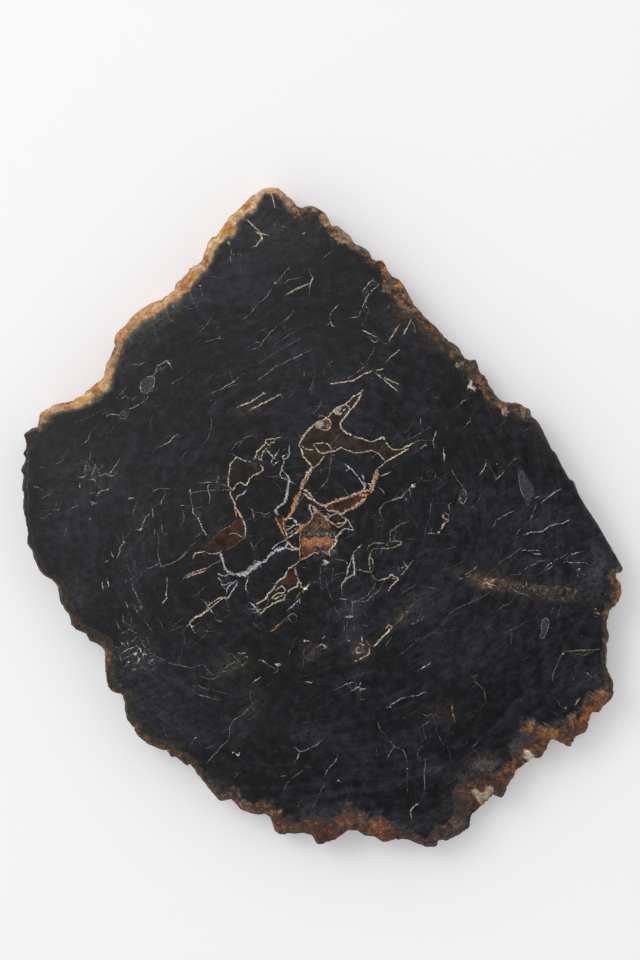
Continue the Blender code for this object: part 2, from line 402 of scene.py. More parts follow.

# %% [markdown]
# ## The veins
#
# Cracks in the old wood filled with quartz: cream and pink near the heart, blue-white and grey
# further out, and hairlines everywhere. Each is written down as a stroke: a colour, a width, and
# the points it passes through, picked on the photograph. A random crack pattern would have
# the right texture but never this board's own drawing.

# %% Colours of the fillings
TINTS = {
    "cream": "#dfd0ba", "pink": "#dab49e", "orange": "#d29c6c", "tan": "#94785c", "blue": "#ccd2da",
    "lilac": "#a6a4b2", "grey": "#85878a", "dim": "#65676a", "faint": "#505256", "green": "#a8a48c",
    "white": "#ccc9c4", "olive": "#76725a", "spark": "#fbfaf6",
}

# %% Strokes round the heart
HEART_VEINS = """
cream 1.9 319,421 312,427 306,433 302,439 299,446 301,448 303,456 308,462 313,468
    / 325,418 328,418 333,411 337,408 345,405 352,398 360,393 362,390
    / 361,394 356,404 350,411 345,417 340,424 341,428 346,433 354,437 362,439 370,442 377,440 382,436
    / 385,442 392,450 399,450 407,446 413,443 / 385,462 393,458 401,453 408,449
    / 333,411 336,415 341,414 345,409
cream 1.4 313,468 319,464 323,458 325,456 / 301,446 306,449 313,450 / 385,462 381,466 375,471
    / 313,444 317,449 321,454 329,452 336,451 341,447 346,450 354,453 363,452 371,450 378,453 383,459 385,462
    / 322,421 326,419 330,420 331,424 330,429 326,430 321,430
pink 1.6 314,444 321,443 328,444 331,448 333,451
green 1.2 330,455 335,455
orange 1.5 319,417 322,416 325,417
white 2.2 341,407 345,405 349,407 349,411 346,414
cream 2.6 379,440 382,437 384,441
grey 1.0 342,432 338,436 335,440 331,444 / 399,447 403,442 409,439 416,436 422,432 / 413,443 418,441 425,440
    / 311,414 315,413 318,409 321,404 321,400
pink 4.0 312,467 309,472 306,477 304,481 302,485 301,489
orange 2.0 303,482 301,489 299,495 296,503
pink 1.6 309,472 303,480 301,484 / 312,469 310,475 307,481 304,484
orange 5.2 300,492 297,497 295,503 293,509 291,514 287,518 284,520
cream 2.0 303,490 307,491 310,494 312,497 315,501 321,505 329,505 / 303,493 310,498 313,500
pink 3.2 325,507 328,504 337,500 346,498 354,494 362,492 370,490
    / 366,498 357,505 347,510 343,513 338,512 333,511 329,511 326,508
orange 5.0 360,496 364,495 368,494
pink 6.0 371,492 372,486 373,482 374,478 376,475 377,470
cream 1.5 328,519 331,516 334,514 337,513 341,515 344,518 346,521 341,523 336,524 331,522 329,520
pink 1.8 329,520 333,524 338,527 343,525 346,522
blue 1.1 344,516 347,519 350,524 353,529 / 345,528 349,529 354,530
"""

# %% Strokes round the hollow and left of it
HOLLOW_VEINS = """
cream 2.0 309,505 310,509 312,513 313,517 311,520 307,524 303,527 / 311,505 317,510 319,513
    / 311,505 309,507 311,512
pink 4.6 313,509 317,511 321,514 325,517 328,520
cream 3.4 315,512 / 344,512 348,509 / 327,513 330,516 / 297,525
orange 3.6 300,527 304,524 / 296,531 300,529 303,531
cream 2.6 285,547 288,542 292,546 297,549 300,549 / 285,547 291,549 297,549
cream 2.2 346,528 342,530 339,533 336,537 336,541 334,545 331,549 328,551
white 1.4 328,551 330,555 / 320,550 324,552 328,554 331,556
pink 1.8 300,544 300,550 300,556 300,560 305,558 310,555 315,552 319,554
cream 1.7 299,524 301,530 300,536 300,542 / 286,530 291,527 296,524 300,523 / 284,528 286,533 288,538
orange 2.4 297,523 301,526 304,529 301,531
spark 4.8 327,562
spark 5.6 305,588
cream 2.1 288,537 292,535 297,532 300,531 / 286,519 289,518 293,518 296,521 297,524
green 1.4 286,533 290,533 294,530 297,527 / 276,517 279,514 284,516 286,519 285,524 285,528 287,530
orange 1.8 276,518 278,522 280,526 282,530 284,535 286,539 / 283,517 284,523 284,529 286,533
blue 1.2 288,538 283,541 279,543 275,546 272,549
blue 4.0 284,547 280,549 276,550 273,552 270,555 267,559 262,562
blue 5.2 262,562 258,564 254,567 250,570 246,573 241,574 236,574
blue 2.8 236,574 232,573 226,569 223,560 221,552
white 2.4 262,562 256,560 253,563 257,566
blue 1.3 229,574 225,576 218,573 / 219,578 221,580 / 236,580 232,583 227,589 227,593
    / 238,582 236,586 233,590 229,597 226,599 / 222,584 226,584 230,582 / 206,601 209,606 214,613
    / 190,621 192,625 194,630 / 250,602 254,605 261,613 / 251,608 255,609 / 300,598 296,602 292,606 288,609
cream 2.0 228,597 224,597 220,600 212,606 204,612 195,618 190,621
cream 1.2 224,596 219,598 213,602 208,606
white 1.3 248,577 247,582 246,588 249,592
grey 1.1 256,563 255,558 256,552 252,545 250,541 / 227,600 229,605 230,610 229,614 224,618
grey 2.4 221,621
cream 1.7 300,560 297,563 291,567 289,567 287,572 284,577 278,581 274,588 268,594 267,597 258,603 254,604
    / 295,567 297,576 299,579 298,583 297,586 290,589 286,595 284,599 275,602 266,608 260,614
cream 1.3 299,580 301,583 301,587 304,588 / 276,590 282,585 286,590 284,592 278,592 272,597 275,598
    282,595 285,594
orange 2.0 302,590 304,592
tan 1.6 302,590 299,594 296,598
tan 2.0 293,613 288,616 284,619 280,623 273,628 / 289,618 283,622 278,627 270,631
grey 1.3 288,615 291,613 294,613 297,615 297,619 295,622 291,621 289,618 288,615
"""

# %% Strokes right of the heart
RIGHT_VEINS = """
white 2.6 360,545 357,549 354,551 352,555 351,559 350,563 348,567 347,574 345,578 341,585 342,590
white 3.0 353,553 354,563 354,573 351,576 347,577 344,581
green 1.9 355,569 360,569 364,571 371,572 373,569 373,564 370,554 367,548 369,545 373,543 384,543 388,545
    / 370,572 369,561 369,556 371,550 374,548 386,548 392,547 401,544 401,541 391,541 387,541 386,545
grey 1.4 389,541 390,531 393,529 400,524 408,521 / 394,541 394,536 395,530 / 381,549 381,553
    / 371,573 374,578 378,580 / 374,579 375,584 372,589 368,594 358,600 352,602
    / 384,579 381,584 380,589 370,597 365,601 355,600 350,601
cream 1.6 378,580 384,578 388,577 391,574 397,577 398,579 394,582 391,586 388,590 / 391,578 395,578
green 1.8 400,575 404,571 407,567 404,563 / 408,566 411,562 / 401,568 404,565
tan 1.2 335,559 341,560 345,560
orange 1.8 347,563
dim 1.1 326,565 325,573 326,582 328,590 331,597 334,600 / 333,566 332,578 335,590 / 321,566 320,578 322,592
white 1.5 339,598 346,599
lilac 2.8 378,510 381,507 384,503 392,500 401,497 404,494 406,491 413,485
lilac 1.4 379,510 380,514 382,518 / 394,499 396,494 / 403,495 402,490 400,486 / 409,488 410,493
    / 404,497 407,501 / 378,487 382,490 384,493
spark 5.0 412,486
grey 1.1 416,483 421,480 430,481 435,478 435,474 / 420,475 421,479 / 343,488 346,492 349,496
white 1.5 364,482 365,487 363,491
blue 2.2 369,484
blue 1.5 345,464 350,468 354,472 361,481 364,485 364,490 / 350,468 346,471 / 362,474 364,481
    / 381,476 386,474 390,472
grey 1.0 330,458 330,466 329,474 327,480 323,485 319,489
white 1.4 435,431 435,435 432,441 434,448 / 460,404 463,401 467,400
grey 1.1 452,410 457,407 460,404 / 463,428 466,424 470,421 469,417 / 433,398 438,399 / 524,431 527,429
white 1.8 443,449 443,453 444,461
grey 1.4 446,426 446,429 / 420,418 420,425 / 450,466 450,469 454,476 / 455,478 459,482 462,487
green 1.4 459,494 458,500 462,504 466,498 465,491 462,489 / 459,497 464,504 / 462,492 466,496
dim 1.3 476,503 478,499 480,493
white 1.6 479,475 481,471 483,469 485,463
white 1.9 494,481 497,478 502,473
dim 1.4 505,469 508,464 511,461 / 432,498 430,505 430,510 428,523 430,528 431,533 / 425,527 424,535
dim 3.4 513,459
white 3.0 431,533
white 1.4 534,498 538,496 / 541,502 544,499 552,493 560,489
green 2.0 535,505 533,510 531,515 529,519
grey 1.7 523,523 522,525 / 519,528 517,532 514,534
cream 2.0 444,513 442,517 445,519 448,520 446,522 / 445,522 442,525 441,529
green 1.2 445,512 448,516 448,520
cream 3.0 438,532
lilac 1.3 449,512 448,505 450,503 / 491,527 494,524 494,521 500,518 / 502,516 508,513 512,511
grey 1.4 517,473 518,482 520,490 523,497 526,503 530,507
dim 1.3 518,470 522,471 525,476 529,482 532,489 532,496 / 522,478 526,486 / 524,488 528,496
white 1.7 523,534 530,532 541,531 548,526 554,524 562,523 568,519
lilac 1.3 512,539 517,537 / 520,550 530,550 538,550
lilac 2.0 532,553 540,554
dim 1.6 497,563 501,560 509,556 517,550 521,547
grey 1.3 522,570 530,565 538,561 546,559 / 552,560 558,558 564,555 567,553
white 3.0 546,565 549,563 / 546,569 549,567 551,565
white 1.9 570,554 573,553 577,552
grey 1.2 577,552 582,550 / 527,575 538,574 543,570 546,569
white 2.0 563,561 566,561 / 568,562 571,562 / 575,562 577,562 / 580,562 583,562 / 575,570 579,568
grey 1.8 586,563 588,565 / 590,565 590,567 / 576,575 577,576 / 581,573 582,574
grey 1.6 505,576 511,574 519,574
dim 1.4 497,609 500,607 504,604 508,603 511,600 514,593
"""

# %% Strokes on the left
LEFT_VEINS = """
cream 1.6 237,457 231,464 230,470 229,481 229,486 233,490 238,484 241,482 246,486 250,478 257,474 262,471
    264,469 261,465
cream 1.2 237,457 244,461 252,462 / 262,460 262,455 264,451 268,447 / 257,458 260,459 263,461
cream 1.6 254,460 256,455 258,451 263,446 266,445
cream 1.3 266,445 266,441 268,439 275,439 281,438 / 267,444 270,446 271,442 274,443 275,440
blue 1.3 267,450 270,454 275,459 / 279,451 273,459 271,463 / 274,465 277,463 279,461
grey 1.1 239,447 241,443 245,438 250,436 258,437 / 231,453 237,457
green 1.4 201,483 206,483 216,482 226,486 229,487 / 210,484 208,487 211,497 210,503
grey 1.2 190,493 200,491 212,490 231,490 / 219,474 219,479 217,483
cream 1.9 231,491 231,495 235,503 236,508 239,511 243,519
orange 1.4 235,503 236,511 237,517
blue 1.3 236,500 238,496 243,494 247,490
blue 1.4 290,446 289,450 290,455 288,458 284,460 282,457 285,455 / 284,460 282,470 285,473 290,480
    / 282,470 280,474 282,478 286,478
blue 3.0 289,478 289,484 287,495 287,497 285,502 281,505 275,511 278,514
grey 1.0 266,476 274,477 280,477
cream 1.5 243,519 245,524 246,530 246,535 244,537 / 205,551 200,552 196,553 193,558
tan 1.3 236,521 232,525 224,529 218,535 213,539 208,545 205,549
cream 1.2 205,551 211,553 218,553 222,550 / 230,534 233,533 237,533 242,536
tan 1.1 246,537 240,541 234,546 226,550
green 1.5 250,508 253,510 254,514 254,518
grey 1.4 259,512 262,513 266,515 270,512 / 262,516 268,517 / 246,520 250,519 255,518
pink 1.5 184,578 188,575 193,572 198,570 207,568 / 187,578 192,575 203,571 207,570
grey 1.2 207,568 213,564 219,561 222,560
white 1.3 191,492 192,500 194,513 200,519 203,529 208,536
grey 2.2 183,505
grey 1.1 183,510 185,516 184,522 181,526 / 197,508 201,506 204,505 / 207,508 211,506 215,505
    / 193,538 198,535 203,532 / 190,546 197,542 / 180,557 186,552 192,548
grey 1.2 97,427 92,433 89,440 83,445 / 68,451 66,455 65,460 / 92,450 92,455 91,459 94,462
green 1.6 88,463 86,468 87,473 / 90,465 92,470 96,466 / 92,477 95,472 97,466 / 101,470 104,465
white 1.9 82,478 86,476 / 91,493 95,492 / 81,486 81,487 / 131,498
white 1.2 100,472 102,476 / 91,480 95,479 97,482 / 98,495 101,491 108,490 111,488
green 1.4 121,459 118,464 114,469 111,473 / 110,476 115,475 119,472
grey 2.2 106,474 / 96,503 / 75,507 / 79,506 / 45,498 / 131,409
grey 1.3 44,498 48,495 52,494 / 46,510 54,510 62,509 / 55,510 57,505 58,501 / 50,514 53,513
    / 42,518 45,519 48,516 / 68,529 66,534 64,536 / 92,518 95,516 / 133,514 136,507 138,504
white 1.4 160,447 164,446 171,441 178,434 / 108,417 111,414 116,415 120,415
grey 1.3 120,418 121,414 127,409 130,410 129,415 126,419 122,419 120,418
white 1.3 133,409 138,406 147,400 151,393 / 120,395 124,392 127,388 / 123,399 127,396
white 1.8 134,400 137,397
grey 1.4 152,495 155,491 160,488 170,489
green 1.6 153,520 154,515 153,510 154,506 / 162,504 163,500 165,497 / 147,516 145,520 142,529 141,532
white 2.8 142,529
grey 1.1 162,520 163,526 163,533 / 155,528 155,535 / 41,468 49,468 / 34,487 39,487 44,490 / 56,464 64,461
"""

# %% Strokes towards the top
TOP_VEINS = """
grey 1.4 205,277 215,278 220,279 / 144,316 147,319 / 184,307 190,310
white 1.4 232,251 232,256 / 231,258 231,262 / 241,255 242,258
faint 1.2 241,265 242,280 / 205,383 218,371
grey 1.2 189,291 192,297 197,309 202,301 / 202,292 203,297 210,302 / 168,305 167,311 169,317
    / 160,320 168,321 / 170,320 175,323 / 153,326 156,329 / 155,332 160,341 / 148,341 152,348
    / 131,365 142,365 148,362
white 1.7 173,305 174,309 / 201,287
white 1.7 141,387 142,383 146,379 150,377 154,377 156,380 155,386 151,391 146,394 142,391 141,387
white 2.0 154,376 158,372 / 161,371 166,367 / 163,364 168,361 171,366 / 141,389 143,394 / 158,367 162,364
white 1.2 213,393 224,388 235,382 239,378 / 222,390 234,385
cream 1.3 271,194 273,198 275,209
cream 1.6 247,221 251,225 258,231 262,238 262,241 256,247 253,248 / 256,233 261,235 267,236
green 2.8 261,235
grey 1.1 273,227 277,224 / 274,227 277,229 / 281,227 287,229 / 323,260 325,257 333,252 / 228,242 230,246
white 1.6 303,235 / 310,285
grey 1.2 289,268 281,279 273,287 268,297 258,305 250,315 243,320 / 284,284 288,281 300,279
white 1.9 289,270 / 276,284
white 1.4 309,272 311,276 313,279 310,286 309,296 / 329,318 334,310 338,306 / 330,321 331,325 335,328
    / 327,326 330,324
cream 1.6 287,295 294,291 306,286 310,285
grey 1.3 252,351 260,347 268,336 278,326 288,319 294,312
dim 1.0 262,362 276,353 290,345 297,341 / 270,349 290,335 300,330
grey 1.2 259,380 266,375 276,367 289,361 294,359
white 1.3 294,359 304,354 310,351
cream 1.6 240,406 250,403 264,394 267,394 / 251,410 263,404 275,398 281,394
grey 1.2 315,376 310,389 312,394 / 324,371 324,376 / 331,362 330,368 / 304,372 304,378 / 368,338 372,340
white 1.6 362,331 366,333 374,337 376,337
white 1.3 371,341 375,343 378,340
grey 2.1 387,309 389,307
grey 1.7 372,354 367,361 362,369 354,375 347,380
dim 1.3 360,363 368,369 / 371,379 374,379
cream 1.5 329,385 338,383 353,381 364,374 372,372 / 376,371 384,369
white 1.8 376,374 380,378 384,380 388,384
cream 1.3 384,378 390,381 399,385 / 388,384 396,391 / 388,360 396,353 399,350
pink 1.6 389,342 391,338 395,331 399,325
white 1.7 350,319 359,317 362,308 366,300 371,292 380,285
white 1.2 361,293 370,283 373,281 / 365,319 369,312
white 1.6 366,308
cream 1.4 411,320 408,326 403,336
tan 1.6 412,322 414,330
green 2.2 456,363 459,365 / 458,367 461,366 / 468,386 471,389 / 500,412 502,414
tan 1.4 453,368 457,364 / 461,370 463,366 / 470,392 473,388
"""

# %% Strokes at the lower left
LOWER_LEFT_VEINS = """
green 1.6 124,533 124,538 125,542 122,546 119,556 118,559
cream 3.0 125,542
cream 1.5 113,554 115,557 / 108,579 109,582 110,585 / 103,584 105,589
dim 1.1 132,547 132,553 / 128,562 131,572 / 135,560 137,569 / 134,572 135,576 / 142,570 142,576
    / 152,656 160,659 180,665 / 145,620 154,631 / 160,618 163,627 / 172,626 183,618 / 168,631 184,625
grey 1.2 133,580 134,588 142,604 / 135,602 139,613 / 150,568 156,565 161,562
white 1.6 128,603 129,607 / 168,577 168,582 167,593 168,597 163,603
green 1.3 158,550 159,556 162,566 170,564 181,558 188,552
tan 1.6 128,622 131,625 / 130,629 135,627 / 134,622 136,624
spark 4.2 137,653
white 1.9 138,654 141,660 / 128,647 128,648 / 122,641 126,645 / 131,648 137,645 / 139,646 143,652
white 2.2 147,653 / 130,661 / 137,668 / 126,650
white 1.6 128,641 130,646 / 134,652 139,649 / 141,657 138,664 / 129,656 133,653 / 135,661 141,663
    / 145,651 144,658 / 125,651 129,648 / 143,642 146,647 / 151,661 155,658 / 121,654 122,660
    / 133,641 136,637
grey 1.3 118,621 121,629 / 124,614 125,622 / 126,625 132,630 / 133,617 131,626 / 135,631 139,634
    / 121,633 127,631 / 116,646 121,648 / 147,635 150,641 / 138,609 141,616 / 149,669 155,668
    / 133,668 134,674 / 124,666 129,664
grey 1.4 143,664 145,668 / 146,648 148,649 / 124,643 126,645 / 133,656 135,660 / 150,647 150,650
dim 1.1 186,637 186,641 183,648 182,654 176,665
grey 1.0 150,652 160,657 172,662 184,665 190,667 / 190,667 201,664 205,663
grey 1.3 204,664 210,671 216,676 / 190,687 198,693 209,696 220,699
dim 1.8 193,685 199,684 208,689 / 228,654 231,652 236,657 240,661
olive 1.7 213,678 220,674 228,670 238,666 / 222,666 224,670 228,667 / 225,668 228,664 238,660
    / 215,673 226,670 / 238,660 248,661 / 200,675 206,677 213,678
green 1.5 205,630 210,631 213,630 / 201,638 204,636 206,634 / 238,652 242,653 246,652
green 2.6 247,656 / 243,664
white 2.5 196,736 / 233,751
white 3.0 237,753
dim 1.5 206,747 214,744 / 190,748 194,739 / 264,686 272,682 / 232,774 236,770 / 235,776 239,771
cream 1.7 258,678 254,680
grey 1.3 250,706 242,714 233,720 230,726 230,732 230,737
grey 1.6 230,737 222,745 214,754 208,760
grey 1.3 251,690 251,697 254,706
faint 2.4 142,703 147,710 / 160,715 163,717 / 165,730 168,736
grey 1.4 283,792 284,788 289,779 293,776 302,770 / 270,804 275,800 279,799
faint 1.4 302,770 308,762 / 297,806 302,797
grey 1.8 294,745 299,750 305,749 317,743 325,736
white 2.3 297,758 299,752
grey 1.7 324,776 326,770 331,764 335,760 337,755
dim 1.3 324,783 321,789 318,795 313,806 / 351,783 349,790 345,802 / 310,766 313,765
white 2.4 338,779 / 276,663
white 1.8 262,659 267,662 270,665
grey 1.3 270,665 274,667 / 274,671 276,672 278,668
white 2.6 305,681 312,681
grey 1.4 289,652 291,648 297,636
cream 1.8 319,644 322,643 327,646 / 325,646 324,648
white 2.2 307,640 / 324,636
dim 1.2 314,650 313,658 / 319,648 317,659 / 304,646 304,656 / 304,657 303,665 301,668
    / 304,657 310,659 318,661 / 330,690 340,686
"""

# %% Strokes at the lower right
LOWER_RIGHT_VEINS = """
white 2.7 344,616 349,616 353,616
grey 1.3 352,600 352,606 352,617 / 345,600 346,608 / 335,608 337,611 340,614
dim 1.5 344,620 344,630 / 347,620 347,632 / 354,622 354,630 / 362,624 367,625 / 355,609 359,608
white 2.4 349,640
cream 2.1 362,636 362,641
tan 1.5 352,654 353,651 356,650 / 353,641 356,643 / 358,642 359,646 / 366,640 370,645 373,646
    / 362,645 363,652 / 366,650 366,655
cream 1.6 356,652 356,648 357,646 360,648 / 358,658 362,657 369,653 369,648 / 360,642 364,645
cream 2.6 355,660 / 357,652
cream 2.2 373,646 379,639 386,633 392,626
cream 1.5 385,628 388,624 392,626
tan 2.0 392,626 399,620 405,612
green 2.6 406,611
tan 1.6 401,616 403,612 / 405,617 408,611 / 409,607 413,604
grey 1.1 384,646 388,641 391,637 / 360,690 360,698
grey 2.6 412,623
grey 1.4 415,623 418,620 418,617 / 420,620 423,616
dim 1.3 397,655 404,650 / 408,647 415,640 418,638
faint 3.0 418,638 428,634 438,629
dim 1.3 441,622 447,614 456,608 466,603 478,598 490,591 / 441,624 450,616 459,612
white 1.7 420,668 426,665 430,661
faint 1.2 415,670 420,668 / 402,718 411,712 416,710
grey 1.5 385,706 389,706
white 1.6 389,704 397,700 401,697 409,695 417,694 424,691
grey 1.5 378,721 380,729 384,732 387,737 394,745 / 394,745 391,749 387,756
grey 1.7 394,745 399,747 403,749 405,753 407,762
white 2.0 407,767
dim 1.2 407,770 407,790 / 375,742 376,748 377,755
grey 1.3 423,713 427,715 432,712 / 433,716 436,723 436,729 / 428,720 422,725 425,737
tan 2.4 451,702 452,713 454,719
dim 1.1 446,742 450,756 / 424,737 421,742 417,752 418,757
grey 1.4 425,757 424,768 424,790 421,797 419,801
white 1.7 419,801 415,804 411,807 410,812 411,817
white 1.2 340,686 346,683 352,681
white 2.4 353,689 356,687 359,686 360,682
white 1.9 350,681 353,681 / 363,688
white 1.8 360,698
olive 1.4 472,679 481,686 484,691 484,696 486,702
dim 1.2 484,702 476,710 472,714
grey 1.4 508,630 516,626 525,621
faint 2.2 500,634 508,630 / 485,627 490,624 / 510,631 510,645
grey 1.2 472,745 476,742 / 465,743 467,741 / 473,748 477,751 / 467,740 467,741
olive 2.6 460,578
lilac 1.4 464,574 470,571 / 465,576 469,575 / 472,569 476,566
grey 1.5 512,589 518,593 526,594 / 540,592 546,596 550,599
pink 1.9 481,584 485,582 489,584 494,585 / 483,580 487,578 / 490,581 495,579 / 486,586 491,587
    / 482,587 484,586 / 488,581 491,583
tan 1.5 478,583 481,580 / 483,586 490,587 497,589 / 497,582 503,579 506,584 / 496,577 500,580
green 1.3 514,585 / 517,588 519,584 / 522,586 / 525,582 526,585 / 529,588 531,585 / 545,590 547,587
    / 557,594 560,590 / 565,595 566,591 / 571,596 573,593
tan 1.3 534,589 / 537,586 539,589 / 542,585 / 550,592 553,589 / 556,586 / 563,587 / 569,588 / 576,590
    / 554,597 556,599 / 562,599 564,602
dim 1.2 424,588 430,587 435,588 / 472,590 474,597 477,600 / 549,616 552,606 / 556,617 560,603
grey 1.5 541,632 540,625 542,619 545,617 548,620 547,626 545,632 543,637 540,638 538,635 541,632
grey 2.0 604,594 607,592 / 605,588 / 609,595
white 1.6 594,608 / 597,613
grey 1.6 594,612 / 595,616
dim 1.2 578,635 585,637 / 570,675 573,679 / 584,674 587,677
green 1.2 560,652 563,650 571,650 580,649 590,649 600,648 / 572,657 574,654 577,653 / 582,655 591,651
white 1.9 561,653
grey 1.2 561,654 558,658 552,672 551,680
white 1.5 584,671 588,674 592,677 / 573,705 575,701 578,697
grey 1.4 553,697 557,700 559,705 / 588,690 594,693 600,697 / 551,710 556,713
grey 3.2 565,707
green 1.6 542,721 548,725 551,727
"""
VEIN_TEXTS = (HEART_VEINS, HOLLOW_VEINS, RIGHT_VEINS, LEFT_VEINS, TOP_VEINS, LOWER_LEFT_VEINS,
              LOWER_RIGHT_VEINS)


def read_shapes(text):
    """A name, a width and points in mm for each stroke.

    A word is a name, a width or a point, and a slash starts another stroke of the same name and width.
    """
    shapes, name, width, points = [], None, 0.0, []
    for word in text.split() + ["/"]:
        if "," in word:
            points.append([float(n) for n in word.split(",")])
            continue
        if points:
            shapes.append((name, width, from_photo(points)))
            points = []
        if word[0].isdigit():
            width = float(word) * PIXEL
        elif word != "/":
            name = word
    return shapes


traced = [stroke for text in VEIN_TEXTS for stroke in read_shapes(text)]
length = sum(np.linalg.norm(np.diff(points, axis=0), axis=1).sum() for _, _, points in traced)
print(len(traced), "strokes,", round(length), "mm of vein")

# %% [markdown]
# ## Filled pockets and soft clouds
#
# Where a crack opened wide it holds brown agate, banded along its walls, or a lump of pale quartz.
# These are closed outlines, written like the strokes. The black stone between them isn't even: soft
# grey, olive and bluish clouds drift over it, and each is an ellipse that fades from its middle.

# %% Pockets and clouds
# The lit orange bank is partly the stone's own orange and partly painted light: the hollow's south slope
# faces the lamp, and it is given its lit colour.
FILL_TINTS = {
    "agate": "#281c12", "dusk": "#15120d", "umber": "#361d10", "rust": "#30160a", "lens": "#383b40",
    "lump": "#a39a88", "moss": "#7a5c46", "quartz": "#3c342e", "crystal": "#a09a94", "bank": "#a4683f",
    "brick": "#b4664c", "earth": "#5c3020", "honey": "#5a3a20",
}
BANDED = ("agate", "dusk", "umber", "rust")
FILLS = """
agate 361,394 357,403 352,408 348,413 343,419 340,424 342,431 348,434 356,438 364,440 371,442 378,439
    384,441 389,447 393,451 400,449 409,444 405,451 396,456 388,461 384,460 380,455 374,451 367,450
    359,453 352,452 346,449 341,447 335,451 327,453 320,453 317,449 313,450 306,449 300,446 302,439
    307,432 313,426 322,430 330,429 331,424 330,416 337,409 347,403 355,396
    / 301,448 313,450 317,449 320,453 323,457 319,463 313,467 306,460 302,453
dusk 237,458 231,465 230,475 231,485 236,486 242,481 248,481 257,474 263,470 261,465 252,463 244,462
umber 327,508 337,501 350,497 362,495 372,491 366,498 357,505 347,510 338,512 331,511
    / 331,517 337,515 343,518 337,522 / 288,570 297,572 298,582 291,585 284,585 279,590 281,582
    / 278,518 285,518 287,530 288,538 283,534 279,525
    / 186,577 196,573 206,569 196,572
rust 238,510 242,517 245,520 245,529 246,535 241,539 236,543 231,547 225,550 218,553 211,553 205,551
    207,547 211,542 215,538 220,534 224,529 229,528 233,525 236,521
lump 314,424 318,421 322,420 324,424 321,429 317,429 / 333,412 336,408 341,407 343,410 339,415 334,416
lens 252,464 255,462 258,465 257,468 254,468 / 518,470 522,470 525,475 528,481 531,487 532,494 531,500
    528,504 526,503 523,497 520,490 518,482 517,474 / 544,617 547,620 547,626 545,632 542,638 539,636
    539,628 541,621 / 141,387 142,383 146,379 150,377 154,377 156,380 155,386 151,391 146,394 142,391
    / 121,416 123,411 129,411 127,418
moss 304,524 309,521 313,517 313,513 318,511 322,515 328,521 331,527 326,530 321,527 316,531 310,528
    305,531 299,529 / 324,420 328,419 330,422 330,427 327,429 324,427
quartz 299,529 305,531 310,528 316,531 321,527 326,530 331,527 336,529 336,536 331,538 327,535 321,538
    315,536 309,539 304,536 300,538
crystal 306,534 309,532 312,534 309,536 / 314,534 318,532 321,534 318,536 / 323,532 328,531 331,533 327,536
bank 300,538 304,536 309,539 315,536 321,538 327,535 331,538 335,538 332,544 329,547 325,544 320,547
    315,545 310,549 305,545 302,547
brick 302,541 306,540 309,543 306,546 303,545 / 312,543 315,542 315,546 312,546
earth 301,547 305,545 310,549 315,546 318,551 312,554 306,558 300,557 / 318,517 322,518 323,523 319,526
    315,524
honey 320,547 325,544 329,547 334,541 333,547 327,552 321,551
"""
# Each line: the middle in pixels, half its length and half its width in mm, its lean in degrees from
# the horizontal, its colour and its strength.
CLOUDS = """
    469,577 9 2.4 -14 #66523f 0.8
    488,582 5.5 2.8 -6 #a5825f 1.0
    502,584 6 2.6 -12 #705744 0.9
    540,590 19 3.6 -9 #6a5a4c 1.0
    404,612 13 2.6 45 #5f564c 0.8
    360,650 5 4.5 0 #6b5d50 0.9
    311,650 5 6 0 #5c524c 0.7
    440,712 10 5 0 #4a3f3a 0.7
    280,232 24 15 -10 #3d3e40 0.8
    142,326 15 7 38 #56574e 1.0
    80,592 7 8 0 #47484c 0.9
    137,655 8 8 0 #55565a 0.8
    234,664 8 5 0 #4b4a3a 0.9
    96,475 12 12 0 #3d3e3e 0.7
    140,550 9 22 0 #38393c 0.6
    253,706 5 5 0 #4a4b4c 0.8
    241,728 6 6 0 #434446 0.7
    431,767 4 4 0 #4f5052 0.9
    350,610 7 12 0 #434550 0.8
    545,520 22 12 20 #3b3b44 0.7
    530,560 20 6 0 #38383f 0.6
    592,580 8 12 0 #434348 0.9
    600,560 8 16 -25 #454549 0.8
    575,680 14 12 0 #3c3d43 0.6
    475,640 25 14 20 #37373d 0.6
    425,600 14 10 20 #3a3a44 0.6
    145,690 20 18 0 #3b3a42 0.7
    180,730 20 12 -20 #3a3b42 0.7
    245,690 12 5 -20 #45454a 0.6
    310,733 22 4 -12 #45464a 0.6
    404,312 8 5 -50 #5f4832 0.8
    398,318 3 9 80 #4c3c30 0.8
    435,335 7 6 30 #5a4330 0.7
    510,418 12 3 -25 #3c2c22 0.9
    545,440 14 6 -50 #46443f 0.8
    250,410 6 3 20 #5f5348 0.8
    485,763 6 4 10 #8d8078 1.0
    485,778 3 5 0 #3a2b22 1.0
    470,772 6 3 25 #5d544c 0.8
    455,800 6 14 -20 #40342e 0.9
    307,808 2 3.5 0 #33261e 1.0
    320,812 12 6 0 #47494c 0.6
    225,786 8 4 -20 #4a4c50 0.7
    400,824 12 4 -5 #3b3f46 0.7
    600,680 6 8 0 #4c4d50 0.7
    522,735 3 5 0 #394450 0.9
    60,470 12 30 0 #303133 0.5
    200,520 18 20 0 #323336 0.5
    300,360 30 16 25 #333437 0.5
    395,260 10 4 -50 #454137 0.6
    420,820 14 6 0 #34363a 0.6
    205,250 6 4 45 #4c4c42 0.7
    180,300 14 4 42 #515248 0.9
    120,370 12 4 30 #45443c 0.8
"""


fills = [(name, points) for name, _, points in read_shapes(FILLS)]
clouds = list(table_rows(CLOUDS))
print(len(fills), "pockets and", len(clouds), "clouds")

# %% [markdown]
# ## From strokes to cracks
#
# A crack in stone is never a clean line. Each stroke is resampled every 0.75 mm, shaken sideways,
# and made to swell, pinch and taper. Hundreds of hairlines too faint to place one by one are added
# at random, leaning the way the placed ones do.

# %% Resample the strokes
STEP = 0.75
DOT = np.array([[-0.12, 0.0], [0.12, 0.05]])
DOT_SHARE, THINNER, WIDER = 0.8, 0.85, 1.05
THINNEST = 0.05
UNBROKEN = ("cream", "pink", "orange", "blue")


